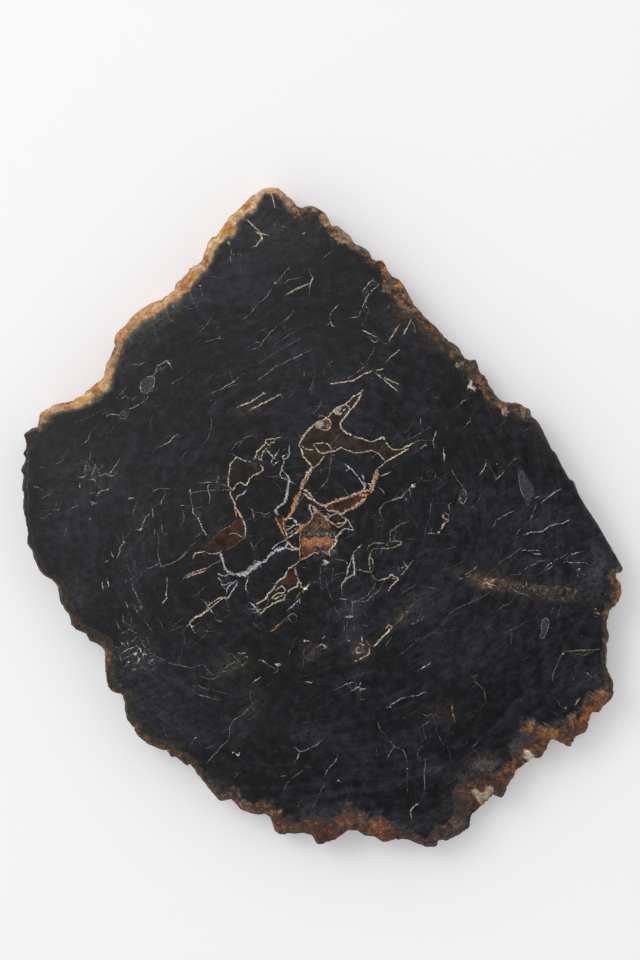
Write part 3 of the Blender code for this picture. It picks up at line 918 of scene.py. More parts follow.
def resample(points, step):
    """Points every step along a polyline, and how far along each lies."""
    travelled = np.concatenate([[0], np.cumsum(np.linalg.norm(np.diff(points, axis=0), axis=1))])
    count = max(2, round(travelled[-1] / step) + 1)
    stops = np.linspace(0, travelled[-1], count)
    return np.column_stack([np.interp(stops, travelled, points[:, axis]) for axis in (0, 1)]), stops


def crack(name, width, points, number):
    """One vein as samples: places, half widths and directions.

    Sideways shift is 0.24 mm of noise 1.5 mm long, plus half as much of finer noise. Half width is
    width / 2, times 1 + 0.5 noise, less at both ends by the square root of the distance to them. All
    but the cream, pink, orange and blue veins are drawn thinner, because the photo's blur widens
    them, and they pinch off here and there. A single point becomes a short dot.
    """
    if len(points) == 1:
        return points[0] + DOT, np.full(2, DOT_SHARE * width / 2), np.tile([1.0, 0.0], (2, 1))
    line, stops = resample(points, STEP)
    ahead = np.gradient(line, axis=0)
    ahead /= np.linalg.norm(ahead, axis=1, keepdims=True) + 1e-9
    key = np.column_stack([stops, np.full(len(stops), 7.31 * number)])
    side = np.column_stack([-ahead[:, 1], ahead[:, 0]])
    line = line + side * (0.24 * noise(key, 1.5, 3) + 0.12 * noise(key, 0.8, 5))[:, None]
    taper = np.sqrt(np.clip(np.minimum(stops, stops[-1] - stops) / 1.6 + 0.12, 0, 1))
    half = (WIDER if name in UNBROKEN else THINNER) * width / 2 * (1 + 0.5 * noise(key, 2.0, 7)) * taper
    if name not in UNBROKEN:
        half = half * (0.2 + 0.8 * smooth_step(noise(key, 3.5, 9), -0.6, 0.25))
    return line, np.maximum(half, THINNEST), ahead


print("a stroke is sampled every", STEP, "mm")

# %% Add the hairlines
HAIRLINES, WHISKERS = 430, 150
NEAR_HEART, NEAR_SPREAD = 0.4, 45
FACE_HALF = np.array((150, 165))
RIM_CLEAR = 9
HAIR_LEAN = math.radians(38)
WHISKER_ANGLES = (35, 85)


def hairlines(count, random):
    """Faint scratches: most lean to the upper right, the rest run out of the heart or round it.

    Two in five start near the heart, where the stone is most broken.
    """
    made = []
    while len(made) < count:
        near = random.random() < NEAR_HEART
        start = HEART + random.normal(0, NEAR_SPREAD, 2) if near else random.uniform(-FACE_HALF, FACE_HALF)
        arm = start - HEART
        turn = math.atan2(arm[0], arm[1]) % math.tau
        edge = np.interp(turn, bearings, ring_radii[-1], period=math.tau)
        if np.linalg.norm(arm) > edge - RIM_CLEAR:
            continue
        leans = [HAIR_LEAN, math.atan2(arm[1], arm[0]), math.atan2(arm[0], -arm[1])]
        lean = random.choice(leans, p=[0.45, 0.25, 0.3]) + random.normal(0, 0.25)
        reach = random.exponential(2.2 if near else 3.2) + 1.0
        bend = random.normal(0, 0.25)
        t = np.linspace(-0.5, 0.5, 5)[:, None]
        along = np.array([math.cos(lean), math.sin(lean)])
        across = np.array([-along[1], along[0]])
        points = start + t * reach * along + (t * t - 0.1) * bend * reach * across
        name = random.choice(["faint", "dim", "grey"], p=[0.45, 0.42, 0.13] if near else [0.7, 0.25, 0.05])
        made.append((name, random.uniform(0.3, 0.55), points))
    return made


def whiskers(count, random):
    """Short side branches: each leaves a random point of a warm or blue vein at an angle and bends."""
    parents = [stroke for stroke in traced if stroke[0] in UNBROKEN and len(stroke[2]) > 1]
    lengths = np.array([np.linalg.norm(np.diff(points, axis=0), axis=1).sum() for _, _, points in parents])
    made = []
    for parent in random.choice(len(parents), count, p=lengths / lengths.sum()):
        name, _, points = parents[parent]
        line, _ = resample(points, 1.0)
        start = random.integers(len(line) - 1)
        heading = math.atan2(*(line[start + 1] - line[start])[::-1])
        heading += random.choice((-1, 1)) * math.radians(random.uniform(*WHISKER_ANGLES))
        reach, bend = random.uniform(0.8, 3.2), random.normal(0, 0.5)
        steps = np.linspace(0, 1, 4)[:, None] * reach
        turned = heading + bend * steps / reach
        branch = line[start] + steps * np.hstack([np.cos(turned), np.sin(turned)])
        made.append(("blue" if name == "blue" else random.choice(["dim", "grey", "tan"]), 0.42, branch))
    return made


strokes = traced + hairlines(HAIRLINES, np.random.default_rng(12))
strokes = strokes + whiskers(WHISKERS, np.random.default_rng(5))
cracks = [crack(name, width, points, number) for number, (name, width, points) in enumerate(strokes)]
print(len(strokes), "cracks in", sum(len(line) for line, _, _ in cracks), "samples")

# %% [markdown]
# ## Measuring against the drawing
#
# The mesh has to know, at each of its corners, how close the nearest vein runs. Comparing every
# corner with every piece of vein would be slow, so the face is cut into square tiles, and each tile
# looks only at what lies within reach of it.

# %% Distances
TILE = 12.0
# A vein out of reach counts as this broad, in mm of half width, which puts its number far below zero.
UNREACHED = 0.3
RIM_REACH = 16


def closeness(places, starts, ends, widths_a, widths_b, reach):
    """The greatest 1 - distance / half width over many short segments, and which segment gave it.

    Distance is to the nearest point of the segment, and the half width is blended between its ends.
    Where nothing is in reach, the number is well below zero.
    """
    best = np.full(len(places), -reach / UNREACHED)
    which = np.zeros(len(places), int)
    tiles = np.floor(places / TILE).astype(int)
    lows, highs = np.minimum(starts, ends), np.maximum(starts, ends)
    for tile in np.unique(tiles, axis=0):
        mine = np.flatnonzero((tiles == tile).all(axis=1))
        in_reach = (lows < (tile + 1) * TILE + reach) & (highs > tile * TILE - reach)
        near = np.flatnonzero(in_reach.all(axis=1))
        if not near.size:
            continue
        along = ends[near] - starts[near]
        arms = places[mine][:, None] - starts[near]
        t = np.clip((arms * along).sum(2) / ((along ** 2).sum(1) + 1e-12), 0, 1)
        gap = np.linalg.norm(arms - t[..., None] * along, axis=2)
        value = 1 - gap / (widths_a[near] + t * (widths_b[near] - widths_a[near]))
        top = value.argmax(axis=1)
        best[mine] = value[np.arange(len(mine)), top]
        which[mine] = near[top]
    return best, which


def crossed_oddly(places, outline):
    """True inside a closed outline: a line from the place to the right crosses it an odd number of times."""
    ends = np.roll(outline, -1, axis=0)
    x, y = places[:, :1], places[:, 1:]
    crosses = (outline[:, 1] > y) != (ends[:, 1] > y)
    slope = (ends[:, 0] - outline[:, 0]) / (ends[:, 1] - outline[:, 1] + 1e-12)
    return (crosses & (x < outline[:, 0] + (y - outline[:, 1]) * slope)).sum(axis=1) % 2 == 1


def depth_inside(places, outline, reach=4.0):
    """Distance in from a closed outline, in mm: positive inside, negative outside, and -reach far out."""
    depth = np.full(len(places), -reach)
    near = ((places > outline.min(0) - reach) & (places < outline.max(0) + reach)).all(axis=1)
    one = np.ones(len(outline))
    gap = 1 - closeness(places[near], outline, np.roll(outline, -1, axis=0), one, one, 2 * reach)[0]
    depth[near] = np.where(crossed_oddly(places[near], outline), gap, -gap)
    return depth


def inside_ring(places, ring, margin):
    """True where a place is nearer the heart than the ring on its bearing, by at least the margin."""
    turns, reach = polar(places)
    return reach < np.interp(turns, *polar(ring), period=math.tau) - margin


def rim_gap(places, ring):
    """Distance to the ring, in mm: exact up to 16, and more than that beyond."""
    one = np.ones(len(ring))
    return 1 - closeness(places, ring, np.roll(ring, -1, axis=0), one, one, RIM_REACH)[0]


def join(cracks):
    """All cracks as one list of segments: starts, ends, half widths at both, and the crack's number."""
    starts = np.concatenate([line[:-1] for line, _, _ in cracks])
    ends = np.concatenate([line[1:] for line, _, _ in cracks])
    widths_a = np.concatenate([half[:-1] for _, half, _ in cracks])
    widths_b = np.concatenate([half[1:] for _, half, _ in cracks])
    owner = np.concatenate([np.full(len(line) - 1, number) for number, (line, _, _) in enumerate(cracks)])
    return starts, ends, widths_a, widths_b, owner


segments = join(cracks)
print(len(segments[0]), "vein segments")

# %% [markdown]
# ## The hollow and the pits
#
# One pocket by the heart never filled up. Its walls are lined with tiny quartz crystals over a bowl
# that is deep at the north and steps up over a grey shelf to an orange bank in the south. The bank's
# orange is partly its own and partly painted light, because that slope faces the lamp. A Boolean
# would cut only a plain shape, so here the face's own height is lowered inside the mouth, and each
# crystal is a small cone standing on the bowl.

# %% Depth of the hollows
VUG_MIDDLE = np.array((-1, -8.5))
VUG_MOUTH = VUG_MIDDLE + np.array((
    (0, 11), (2, 10), (3.5, 7), (5.5, 3.5), (9, 2), (9, -3), (7, -8), (4, -10.5), (-2, -9), (-7, -6),
    (-9.5, -2), (-9.5, 1.5), (-4.5, 6.5), (-2, 10)))
# Floor of the bowl from south to north: y in mm, then depth in mm.
VUG_FLOOR = ((-20, 0.8), (-14, 1.3), (-11.6, 1.5), (-10.4, 2.7), (-6.4, 3.3), (-5.0, 4.4), (-2, 4.2),
             (3, 2.8))
VUG_SLOPE = 2.2
# Each pit: its middle and its depth in mm, then the points of its mouth about its middle.
PITS = (
    ((3, 46.5), 1.4, ((0, 2), (1.3, 1), (1.4, -1), (0, -2.2), (-1.3, -1), (-1.1, 1))),
    ((-9.5, -20.5), 1.8, ((0, 2.4), (1.3, 1), (1.4, -1.2), (0, -2.6), (-1.4, -1.2), (-1.2, 1.2))),
    ((82, -129), 1.0, ((1, 4.2), (2.8, 3), (2.6, -1), (0, -3.8), (-2.6, -2.4), (-2.2, 1.6))),
)
PIT_SLOPE = 1.3
CRYSTAL, CRYSTAL_HEIGHT, CRYSTAL_STEEPNESS = 0.95, 0.8, 1.5


def bowed(outline, step):
    """A closed outline rounded by a cubic through its points and resampled every step."""
    count = 8 * len(outline)
    curve = around(np.asarray(outline, float).T, np.arange(count) / 8).T
    return resample(np.vstack([curve, curve[:1]]), step)[0][:-1]


def crystals(places):
    """Height of a crust of crystals: in each cell a cone stands on a shaken point, and the highest wins."""
    cells = np.floor(places / CRYSTAL).astype(np.int64)
    best = np.zeros(len(places))
    for shift in np.ndindex(3, 3):
        cell = cells + np.array(shift) - 1
        tip = (cell + np.column_stack([cell_number(cell, 71), cell_number(cell, 72)])) * CRYSTAL
        height = CRYSTAL_HEIGHT * (0.3 + 0.7 * cell_number(cell, 73))
        best = np.maximum(best, height - CRYSTAL_STEEPNESS * np.linalg.norm(places - tip, axis=1))
    return best


vug_outline = bowed(VUG_MOUTH, 0.45)
vug_outline = vug_outline + 0.22 * np.column_stack([noise(vug_outline, 1.5, 81), noise(vug_outline, 1.5, 82)])
pit_outlines = [bowed(np.array(middle) + np.array(mouth), 0.4) for middle, _, mouth in PITS]


def bowl(reach_in, floor, slope, power):
    """Depth of a bowl in mm: floor depth times 1 - (1 - distance in / slope) ^ power."""
    return floor * (1 - (1 - np.clip(reach_in / slope, 0, 1)) ** power)


def hollow_depth(places):
    """How far the face is sunk, in mm: the great bowl, rough and less its crystals, and the pits."""
    reach_in = depth_inside(places, vug_outline)
    floor = np.interp(places[:, 1] + 0.8 * noise(places, 3, 83), *np.array(VUG_FLOOR).T)
    depth = bowl(reach_in, floor, VUG_SLOPE, 2.4) + 0.35 * noise(places, 2.2, 84) - crystals(places)
    sunk = np.where(reach_in > 0, np.maximum(depth * smooth_step(reach_in, -0.1, 0.5), 0), 0.0)
    for (_, deepest, _), outline in zip(PITS, pit_outlines):
        reach_in = depth_inside(places, outline)
        depth = bowl(reach_in, deepest, PIT_SLOPE, 2) + 0.2 * noise(places, 0.9, 85)
        sunk = np.where(reach_in > 0, np.maximum(depth * smooth_step(reach_in, 0, 0.4), 0), sunk)
    return sunk


probe = hollow_depth(VUG_MIDDLE + np.random.default_rng(2).uniform(-8, 8, (2000, 2)))
print("hollow is up to", probe.max().round(1), "mm deep")

# %% [markdown]
# ## The face as triangles
#
# The veins are thinner than any even grid could show. So the face is triangulated from points that
# sit where they are needed: along the middle and both edges of each vein, close together in the
# hollow and the crust, and far apart where the stone is plain black. Blender's own constrained
# Delaunay call joins them, and never lets a triangle cross a vein's edge.

# %% Points on the face
SPARSE, CRUST_STEP, POCKET_STEP, HOLLOW_STEP = 5.5, 1.25, 0.95, 0.42
# Lines that follow the rim, this many mm inside it, each with fewer points than the one before.
INSETS = (0.45, 1.0, 1.7)
# A vein this broad, in mm of half width, gets a line on each side as far out as this.
BROAD, BESIDE = 0.42, 0.5
STRIP_CLEAR, CRUST_CLEAR, FACE_CLEAR = 1.6, 1.9, 3
CRUST_ZONE, WIDEST_CRUST = 26, 13


def lattice(step, seed):
    """Points of a triangular grid over the whole slice, each shaken by up to 0.3 of a step."""
    rows = np.arange(-172, 172, step * 0.866)
    columns = np.arange(-158, 158, step)
    x, y = np.meshgrid(columns, rows)
    x = x + (np.arange(len(rows)) % 2)[:, None] * step / 2
    points = np.column_stack([x.ravel(), y.ravel()])
    return points + np.random.default_rng(seed).uniform(-0.3, 0.3, points.shape) * step


def strips(cracks, ring):
    """Points down the middle and both edges of every crack, and the edges between them.

    Broad veins get a fourth and a fifth line, half a millimetre outside, so their glow ends softly.
    """
    points, edges, total = [], [], 0
    for line, half, ahead in cracks:
        side = np.column_stack([-ahead[:, 1], ahead[:, 0]])
        offsets = [0 * half, half, -half]
        if half.max() > BROAD:
            offsets += [half + BESIDE, -half - BESIDE]
        for offset in offsets:
            lane = line + side * offset[:, None]
            fine = inside_ring(lane, ring, STRIP_CLEAR)
            number = total + np.arange(len(lane))
            linked = fine[:-1] & fine[1:]
            edges.append(np.column_stack([number[:-1], number[1:]])[linked])
            points.append(np.column_stack([lane, fine]))
            total += len(lane)
    points, edges = np.vstack(points), np.vstack(edges)
    kept = points[:, 2] > 0
    renumber = np.cumsum(kept) - 1
    return points[kept, :2], renumber[edges]


def closed_edges(outline, first):
    """Edges round a closed outline whose first point has that number."""
    number = np.arange(len(outline))
    return first + np.column_stack([number, np.roll(number, -1)])


def face_points(ring, cracks, outlines, dense_areas, crust_step):
    """Every point of a face in one list, the ring first, and the edges that triangles must keep."""
    ring_arms = ring - HEART
    reach = np.linalg.norm(ring_arms, axis=1, keepdims=True)
    insets = [HEART + ring_arms * (1 - inset / reach) for inset in INSETS]
    insets = [inset[::1 + k] for k, inset in enumerate(insets)]
    strip_points, strip_edges = strips(cracks, ring)
    crust = lattice(crust_step, 91)
    crust = crust[inside_ring(crust, ring, CRUST_CLEAR) & ~inside_ring(crust, ring, CRUST_ZONE)]
    gap, crust_reach = rim_gap(crust, ring), crust_at(polar(crust)[0])[0]
    crust = crust[(gap > CRUST_CLEAR) & (gap < np.minimum(crust_reach * 1.25 + 1, WIDEST_CRUST))]
    pocket, deepest = lattice(POCKET_STEP, 92), -1.0
    for area in dense_areas:
        deepest = np.maximum(deepest, depth_inside(pocket, area))
    pocket = pocket[(deepest > 0.2) & inside_ring(pocket, ring, FACE_CLEAR)]
    sparse = lattice(SPARSE, 93)
    sparse = sparse[inside_ring(sparse, ring, FACE_CLEAR)]
    parts, edges = [ring, *insets, strip_points], [closed_edges(ring, 0)]
    edges.append(strip_edges + sum(len(part) for part in parts[:-1]))
    for outline in outlines:
        edges.append(closed_edges(outline, sum(len(part) for part in parts)))
        parts.append(outline)
    for outline in outlines:
        grid = lattice(HOLLOW_STEP, 94)
        parts.append(grid[depth_inside(grid, outline) > 0.15])
    parts += [crust, pocket, sparse]
    return np.vstack(parts), np.vstack(edges)


def triangulate(points, edges, ring):
    """Delaunay triangles inside the ring that keep the given edges: (points, triangles, ring numbers).

    Ring numbers give, for each returned point, its place in the ring, or -1 inside the face. Triangles
    that have all their corners on the ring may lie in one of its bays, outside the stone, and those go.
    """
    found = delaunay_2d_cdt([Vector(point) for point in points], edges.tolist(), [], 0, 1e-5, True)
    places = np.array(found[0])
    triangles = np.array(found[2])
    on_ring = np.array([min(ids) if ids and min(ids) < len(ring) else -1 for ids in found[3]])
    bay = (on_ring[triangles] >= 0).all(axis=1)
    bay[bay] = ~crossed_oddly(places[triangles[bay]].mean(axis=1), ring)
    return places, triangles[~bay], on_ring


face_ring = wall[-1, :, :2]
outlines = [vug_outline, *pit_outlines]
fill_areas = [points for name, points in fills if name in (*BANDED, "lens", "lump")]
top_points, top_edges = face_points(face_ring, cracks, outlines, fill_areas, CRUST_STEP)
top_places, top_triangles, top_ring = triangulate(top_points, top_edges, face_ring)
print("face has", len(top_places), "points,", (top_ring >= 0).sum(), "of them on the ring, and",
      len(top_triangles), "triangles")

# %% [markdown]
# ## The underside
#
# Nobody photographs the underside, but it is the same stone: the crack pattern runs right through,
# a little shifted, because cracks lean. Only the broad veins are kept there, and it was sawn and
# rubbed flat without the last polish.

# %% Points on the underside
BELOW_WIDTH = 0.5
LEAN, LEAN_SIZE = 3.0, 26


def leaned(places):
    """The drawing as it comes out below: moved by up to 3 mm, along noise 26 mm wide."""
    return places + LEAN * np.column_stack([noise(places, LEAN_SIZE, seed) for seed in (101, 102)])


wide_cracks = [(leaned(line), half, ahead) for line, half, ahead in cracks if half.max() > BELOW_WIDTH]
foot_ring = wall[0, :, :2]
foot_fills = [(name, leaned(points)) for name, points in fills if name in BANDED]
foot_points, foot_edges = face_points(foot_ring, wide_cracks, [], [], 1.4 * CRUST_STEP)
foot_places, foot_triangles, foot_on_ring = triangulate(foot_points, foot_edges, foot_ring)
print("underside has", len(foot_places), "points and", len(foot_triangles), "triangles")

# %% [markdown]
# ## One closed stone
#
# The wall's grid, the face and the underside become one mesh. The face takes the wall's top row as
# its rim, point for point, so there is no seam to see or to leak. Its outer millimetre bends down
# into a rubbed edge, and where the crust comes up onto the face it is a little lower than the
# polished stone, because it is softer.

# %% Heights of the face
CRUST_SUNK = 0.35
EDGE = 1.1


def crust_share(places, gap):
    """1 at the rim, 0 where the crust ends and -1 as far again inside, less some gaps."""
    reach, _, bare, _, _ = crust_at(polar(places)[0])
    wander = 1 + 0.3 * noise(places, 7, 111) + 0.25 * noise(places, 2.5, 112)
    share = 1 - gap / (reach * wander)
    return np.clip(share - 0.7 * bare * smooth_step(noise(places, 4, 113), -0.2, 0.8), -1.2, 1)


def sag(places, gap, share):
    """How far a flat side stands back, in mm: 0.25 at the rim, easing to 0 in 1.1 mm, and on the crust
    up to 0.35 more, by noise."""
    rubbed = RUBBED * (1 - smooth_step(gap, 0, EDGE))
    worn = smooth_step(rough(places, 2.6, 2, 121), -0.5, 0.5)
    weathered = smooth_step(share, -0.2, 0.7) * (0.15 + 0.85 * worn)
    return rubbed + CRUST_SUNK * weathered * smooth_step(gap, 0, 0.8)


top_gap = rim_gap(top_places, face_ring)
top_share = crust_share(top_places, top_gap)
top_sunk = hollow_depth(top_places)
top_z = THICKNESS - np.maximum(sag(top_places, top_gap, top_share), top_sunk)
foot_gap = rim_gap(foot_places, foot_ring)
foot_share = crust_share(foot_places, foot_gap)
foot_z = sag(foot_places, foot_gap, foot_share)
print("face lies between", top_z.min().round(1), "and", top_z.max().round(2), "mm")

# %% Join the three surfaces
grid_number = np.arange(wall_count).reshape(ROWS, STATIONS)


def joined(places, heights, on_ring, ring_row, first):
    """Corner numbers for a flat side: its ring takes the wall's, the rest count on from first."""
    inner = on_ring < 0
    numbers = np.where(inner, first + np.cumsum(inner) - 1, grid_number[ring_row][on_ring])
    return numbers, np.column_stack([places, heights])[inner]


top_numbers, top_inner = joined(top_places, top_z, top_ring, ROWS - 1, wall_count)
foot_numbers, foot_inner = joined(foot_places, foot_z, foot_on_ring, 0, wall_count + len(top_inner))
corners = np.vstack([wall_places, top_inner, foot_inner])

next_station = np.roll(grid_number, -1, axis=1)
quads = np.stack([grid_number[:-1], grid_number[1:], next_station[1:], next_station[:-1]], axis=-1)
quads = quads.reshape(-1, 4)
wall_triangles = np.vstack([quads[:, [0, 1, 2]], quads[:, [0, 2, 3]]])


def facing(triangles, numbers, places, up):
    """Corner numbers of triangles turned to face up or down: the sign of each one's area says which."""
    a, b, c = (places[triangles[:, k]] for k in range(3))
    area = (b[:, 0] - a[:, 0]) * (c[:, 1] - a[:, 1]) - (b[:, 1] - a[:, 1]) * (c[:, 0] - a[:, 0])
    turned = np.where(((area > 0) == up)[:, None], triangles, triangles[:, ::-1])
    return numbers[turned]


triangles = np.vstack([wall_triangles, facing(top_triangles, top_numbers, top_places, True),
                       facing(foot_triangles, foot_numbers, foot_places, False)])
sides = np.sort(np.vstack([triangles[:, [0, 1]], triangles[:, [1, 2]], triangles[:, [2, 0]]]), axis=1)
shared = np.unique(sides, axis=0, return_counts=True)[1]
print(len(corners), "corners,", len(triangles), "triangles, sides shared by", np.unique(shared), "triangles")

# %% Make the mesh
mesh = bpy.data.meshes.new("stone_slab")
mesh.from_pydata((corners * MM).tolist(), [], triangles.tolist())
mesh.update()
mesh.shade_smooth()
mesh.set_sharp_from_angle(angle=math.radians(50))
stone_slab = bpy.data.objects.new("stone_slab", mesh)
bpy.context.scene.collection.objects.link(stone_slab)
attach(stone_slab, "root")
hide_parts("slab")
print("stone_slab is", [round(1000 * side, 1) for side in stone_slab.dimensions], "mm")

# %% [markdown]
# ## The drawing becomes numbers on the mesh
#
# A picture wrapped round the stone would blur when a camera comes close. Instead every corner of the
# mesh carries numbers: how deep it lies in a vein, the vein's colour, how far it is inside a filled
# pocket, how much crust covers it. The material turns those numbers into colour.

# %% Read the drawing at the corners
VEIN_REACH, GLOW_REACH, GLOW_WIDTH = 2.5, 3.0, 2.6


def keep(name, values):
    """Store one number or one colour for each corner of the mesh."""
    colored = values.ndim == 2
    layer = mesh.attributes.new(name, "FLOAT_COLOR" if colored else "FLOAT", "POINT")
    if colored:
        values = np.column_stack([values, np.ones(len(values))])
    layer.data.foreach_set("color" if colored else "value", values.astype(np.float32).ravel())


def drawn_veins(places, cracks):
    """The vein number (1 in the middle, 0 at its edge) and the colour of the strongest vein near by."""
    starts, ends, widths_a, widths_b, owner = join([line for _, line in cracks])
    value, which = closeness(places, starts, ends, widths_a, widths_b, VEIN_REACH)
    palette = np.array([linear(TINTS[name]) for name, _ in cracks])
    return np.clip(value, -1, 1), palette[owner[which]]


def drawn_glow(places, cracks):
    """1 on a warm vein, falling to 0 in 2.6 mm: the rusty stain that follows the cream veins."""
    warm = [line for name, line in cracks if name in ("cream", "pink", "orange", "tan")]
    starts, ends, widths_a, widths_b, _ = join(warm)
    one = np.ones(len(starts))
    gap = 1 - closeness(places, starts, ends, one, one, GLOW_REACH)[0]
    return np.clip(1 - gap / GLOW_WIDTH, 0, 1)


def drawn_fills(places, fills):
    """Depth inside the deepest pocket in mm, its colour, and 1 where it is banded agate."""
    depth, tint, banded = np.full(len(places), -2.0), np.zeros((len(places), 3)), np.zeros(len(places))
    for name, outline in fills:
        inside = depth_inside(places, outline, 2.0)
        better = inside > np.minimum(depth, 0.6)
        depth = np.where(better, inside, depth)
        tint = np.where(better[:, None], linear(FILL_TINTS[name]), tint)
        banded = np.where(better, float(name in BANDED), banded)
    return np.clip(depth, -2, 6), tint, banded


def drawn_clouds(places):
    """The sum of the clouds' colours, each times its strength and e to the minus squared distance."""
    total = np.zeros((len(places), 3))
    for middle, (half_length, half_width, degrees, strength), (tint,) in clouds:
        arm, lean = places - middle, math.radians(degrees)
        along = (arm @ (math.cos(lean), math.sin(lean))) / half_length
        across = (arm @ (-math.sin(lean), math.cos(lean))) / half_width
        share = strength * np.exp(-along ** 2 - across ** 2)
        total += share[:, None] * tint
    return total


named_cracks = [(name, line) for (name, _, _), line in zip(strokes, cracks)]
named_below = [(name, (leaned(line), half, ahead)) for name, (line, half, ahead) in named_cracks
               if half.max() > BELOW_WIDTH]
inner_of = [(top_inner[:, :2], named_cracks, fills), (foot_inner[:, :2], named_below, foot_fills)]
no_tint, no_share = np.zeros((wall_count, 3)), np.zeros(wall_count)
parts = [(np.full(wall_count, -1.0), no_tint, no_share, np.full(wall_count, -2.0), no_tint, no_share)]
for places_in, veins_in, fills_in in inner_of:
    value, tint = drawn_veins(places_in, veins_in)
    parts.append((value, tint, drawn_glow(places_in, veins_in), *drawn_fills(places_in, fills_in)))
names = ("vein", "vein_tint", "glow", "fill", "fill_tint", "banded")
for name, columns in zip(names, zip(*parts)):
    keep(name, np.concatenate(columns))
below = 0.5 * drawn_clouds(foot_inner[:, :2])
keep("cloud", np.concatenate([no_tint, drawn_clouds(top_inner[:, :2]), below]))
print("kept", len(names) + 1, "layers on", len(corners), "corners")

# %% Crust and hollow at the corners
# Each line: the middle of a spot in the crust in pixels, its radius in mm, its light and its dark
# colour, and how much it is made sure of.
CRUST_SPOTS = """
    228,231 4.5 #dd9c58 #b97c40 0.5
    245,204 3.4 #cf9256 #a8733f 0.5
    118,334 3.6 #cf8d5e #a86c42 0.5
    186,284 3.4 #d3935a #ab7244 0.5
    160,298 3.0 #d9a878 #a87c52 0.5
    92,388 3.4 #d39555 #a9743f 0.5
    66,403 3.0 #b9814f #86603c 0.5
    101,362 2.6 #cd8c5c #9c6a44 0.5
    205,262 2.6 #c08656 #946440 0.5
    529,757 2.6 #fff2da #e6d6b8 0.9
    526,752 1.6 #f8e8cc #d8c8a8 0.9
    481,797 3.0 #f4e4c4 #b8a07c 0.9
    488,791 1.9 #f0e0c2 #a8906c 0.9
    475,791 1.4 #dccaa6 #9c8660 0.7
    470,386 1.9 #eee2cc #9a8a74 0.8
    466,381 1.3 #97866c #5c4c3a 0.5
    458,365 2.2 #97977a #4d4b38 0.5
    455,357 2.6 #7d5233 #40281a 0.6
    503,412 1.8 #cfc2ae #6b5645 0.8
    523,409 2.6 #b58e70 #5c4030 0.7
    500,404 2.4 #94623e #503423 0.5
    534,413 1.6 #a89888 #60544a 0.6
    330,221 5.0 #b8946c #84684c 0.6
    346,237 5.0 #b0906e #78604a 0.6
    306,205 3.0 #b89e80 #86705a 0.5
    360,249 3.0 #8f7a64 #55483c 0.5
    389,284 4.0 #836650 #453629 0.6
    405,303 4.0 #8a6a50 #4a3829 0.6
    440,342 3.0 #6d4f38 #33241a 0.6
    452,352 2.4 #85603f #3c2a1c 0.5
    478,378 2.2 #7b5334 #38271b 0.5
    490,396 2.4 #6a4a32 #30231a 0.6
    588,712 3.4 #b0622c #7c4019 0.6
    550,735 3.8 #a06c42 #6c4528 0.4
    530,724 3.4 #94623e #5e3e2a 0.5
    524,736 2.8 #3b4146 #26292c 0.4
    515,745 2.6 #44484a #282a2c 0.4
    600,695 3.0 #a8774e #704a2e 0.5
    570,715 3.0 #8d7355 #5a4834 0.5
    378,824 5.0 #96603a #633a20 0.6
    345,822 4.0 #84563a #4c301f 0.5
    362,815 2.4 #8a6a50 #54402f 0.5
    275,812 3.0 #8f653c #54381f 0.5
    245,803 3.0 #8a7562 #594a3e 0.5
    455,822 3.4 #6e5a44 #45382b 0.5
    618,590 2.8 #b07646 #75482a 0.6
    603,615 1.6 #a06a44 #603c24 0.5
    603,640 1.4 #805a42 #4c3424 0.4
    108,672 2.0 #30251c #1c1612 0.5
    104,652 1.6 #a08a66 #5c4a30 0.5
"""
LOWER_WALL_PALE, LOWER_WALL_DEEP = "#5b4430", "#2c2119"
SPOT_FLOOR = 0.4


def toward(values, goal, weight):
    """Values moved towards a goal by a weight from 0 to 1."""
    return values + weight * (goal - values)


wall_bare = smooth_step(rough(wall_places, 7, 3, 131), -0.35, 0.5).reshape(ROWS, STATIONS)
wall_share = 1 - 1.7 * np.clip(gaps - 0.12, 0, 1) * wall_bare
share_of_all = np.concatenate([wall_share.ravel(), top_share[top_ring < 0], foot_share[foot_on_ring < 0]])
_, _, _, light_of_all, dark_of_all = crust_at(polar(corners[:, :2])[0])
# Lower down the wall the colours turn darker in patches, starting 1.5 mm under the face and in full from 7
# mm.
darker_lower_down = smooth_step(rough(corners, 11, 2, 151), -0.25, 0.45) * smooth_step(THICKNESS - corners[:, 2], 1.5, 7)
light_of_all = toward(light_of_all, linear(LOWER_WALL_PALE), 0.62 * darker_lower_down[:, None])
dark_of_all = toward(dark_of_all, linear(LOWER_WALL_DEEP), 0.75 * darker_lower_down[:, None])
shake = 1 + 0.7 * rough(corners[:, :2], 2.0, 2, 141)
for middle, (spot_radius, sureness), (light, dark) in table_rows(CRUST_SPOTS):
    shaken = np.linalg.norm(corners[:, :2] - middle, axis=1) * shake
    weight = (1 - smooth_step(shaken / spot_radius, 0.75, 1.2)) * (corners[:, 2] > SPOT_FLOOR * THICKNESS)
    light_of_all = toward(light_of_all, light, weight[:, None])
    dark_of_all = toward(dark_of_all, dark, weight[:, None])
    share_of_all = toward(share_of_all, np.maximum(share_of_all, sureness), weight)
keep("crust", share_of_all)
keep("crust_light", light_of_all)
keep("crust_dark", dark_of_all)
keep("sunk", np.concatenate([no_share, top_sunk[top_ring < 0], np.zeros(len(foot_inner))]))
print("crust covers", round(100 * (share_of_all > 0).mean()), "% of the corners")

# %% [markdown]
# ## The stone's finish
#
# The real stone is silicified wood, which is quartz and chalcedony coloured black by carbon and
# iron. Polished with fine grit it has a soft gloss and no grain that a finger could feel, so its
# roughness is low and its bump is nearly nothing. The crust is the same stone weathered: iron turned
# to rust, dull and gritty. One material holds both, because on the real board one grows out of the
# other. A helper adds a node, sets it and links it, and everything below is made with that.

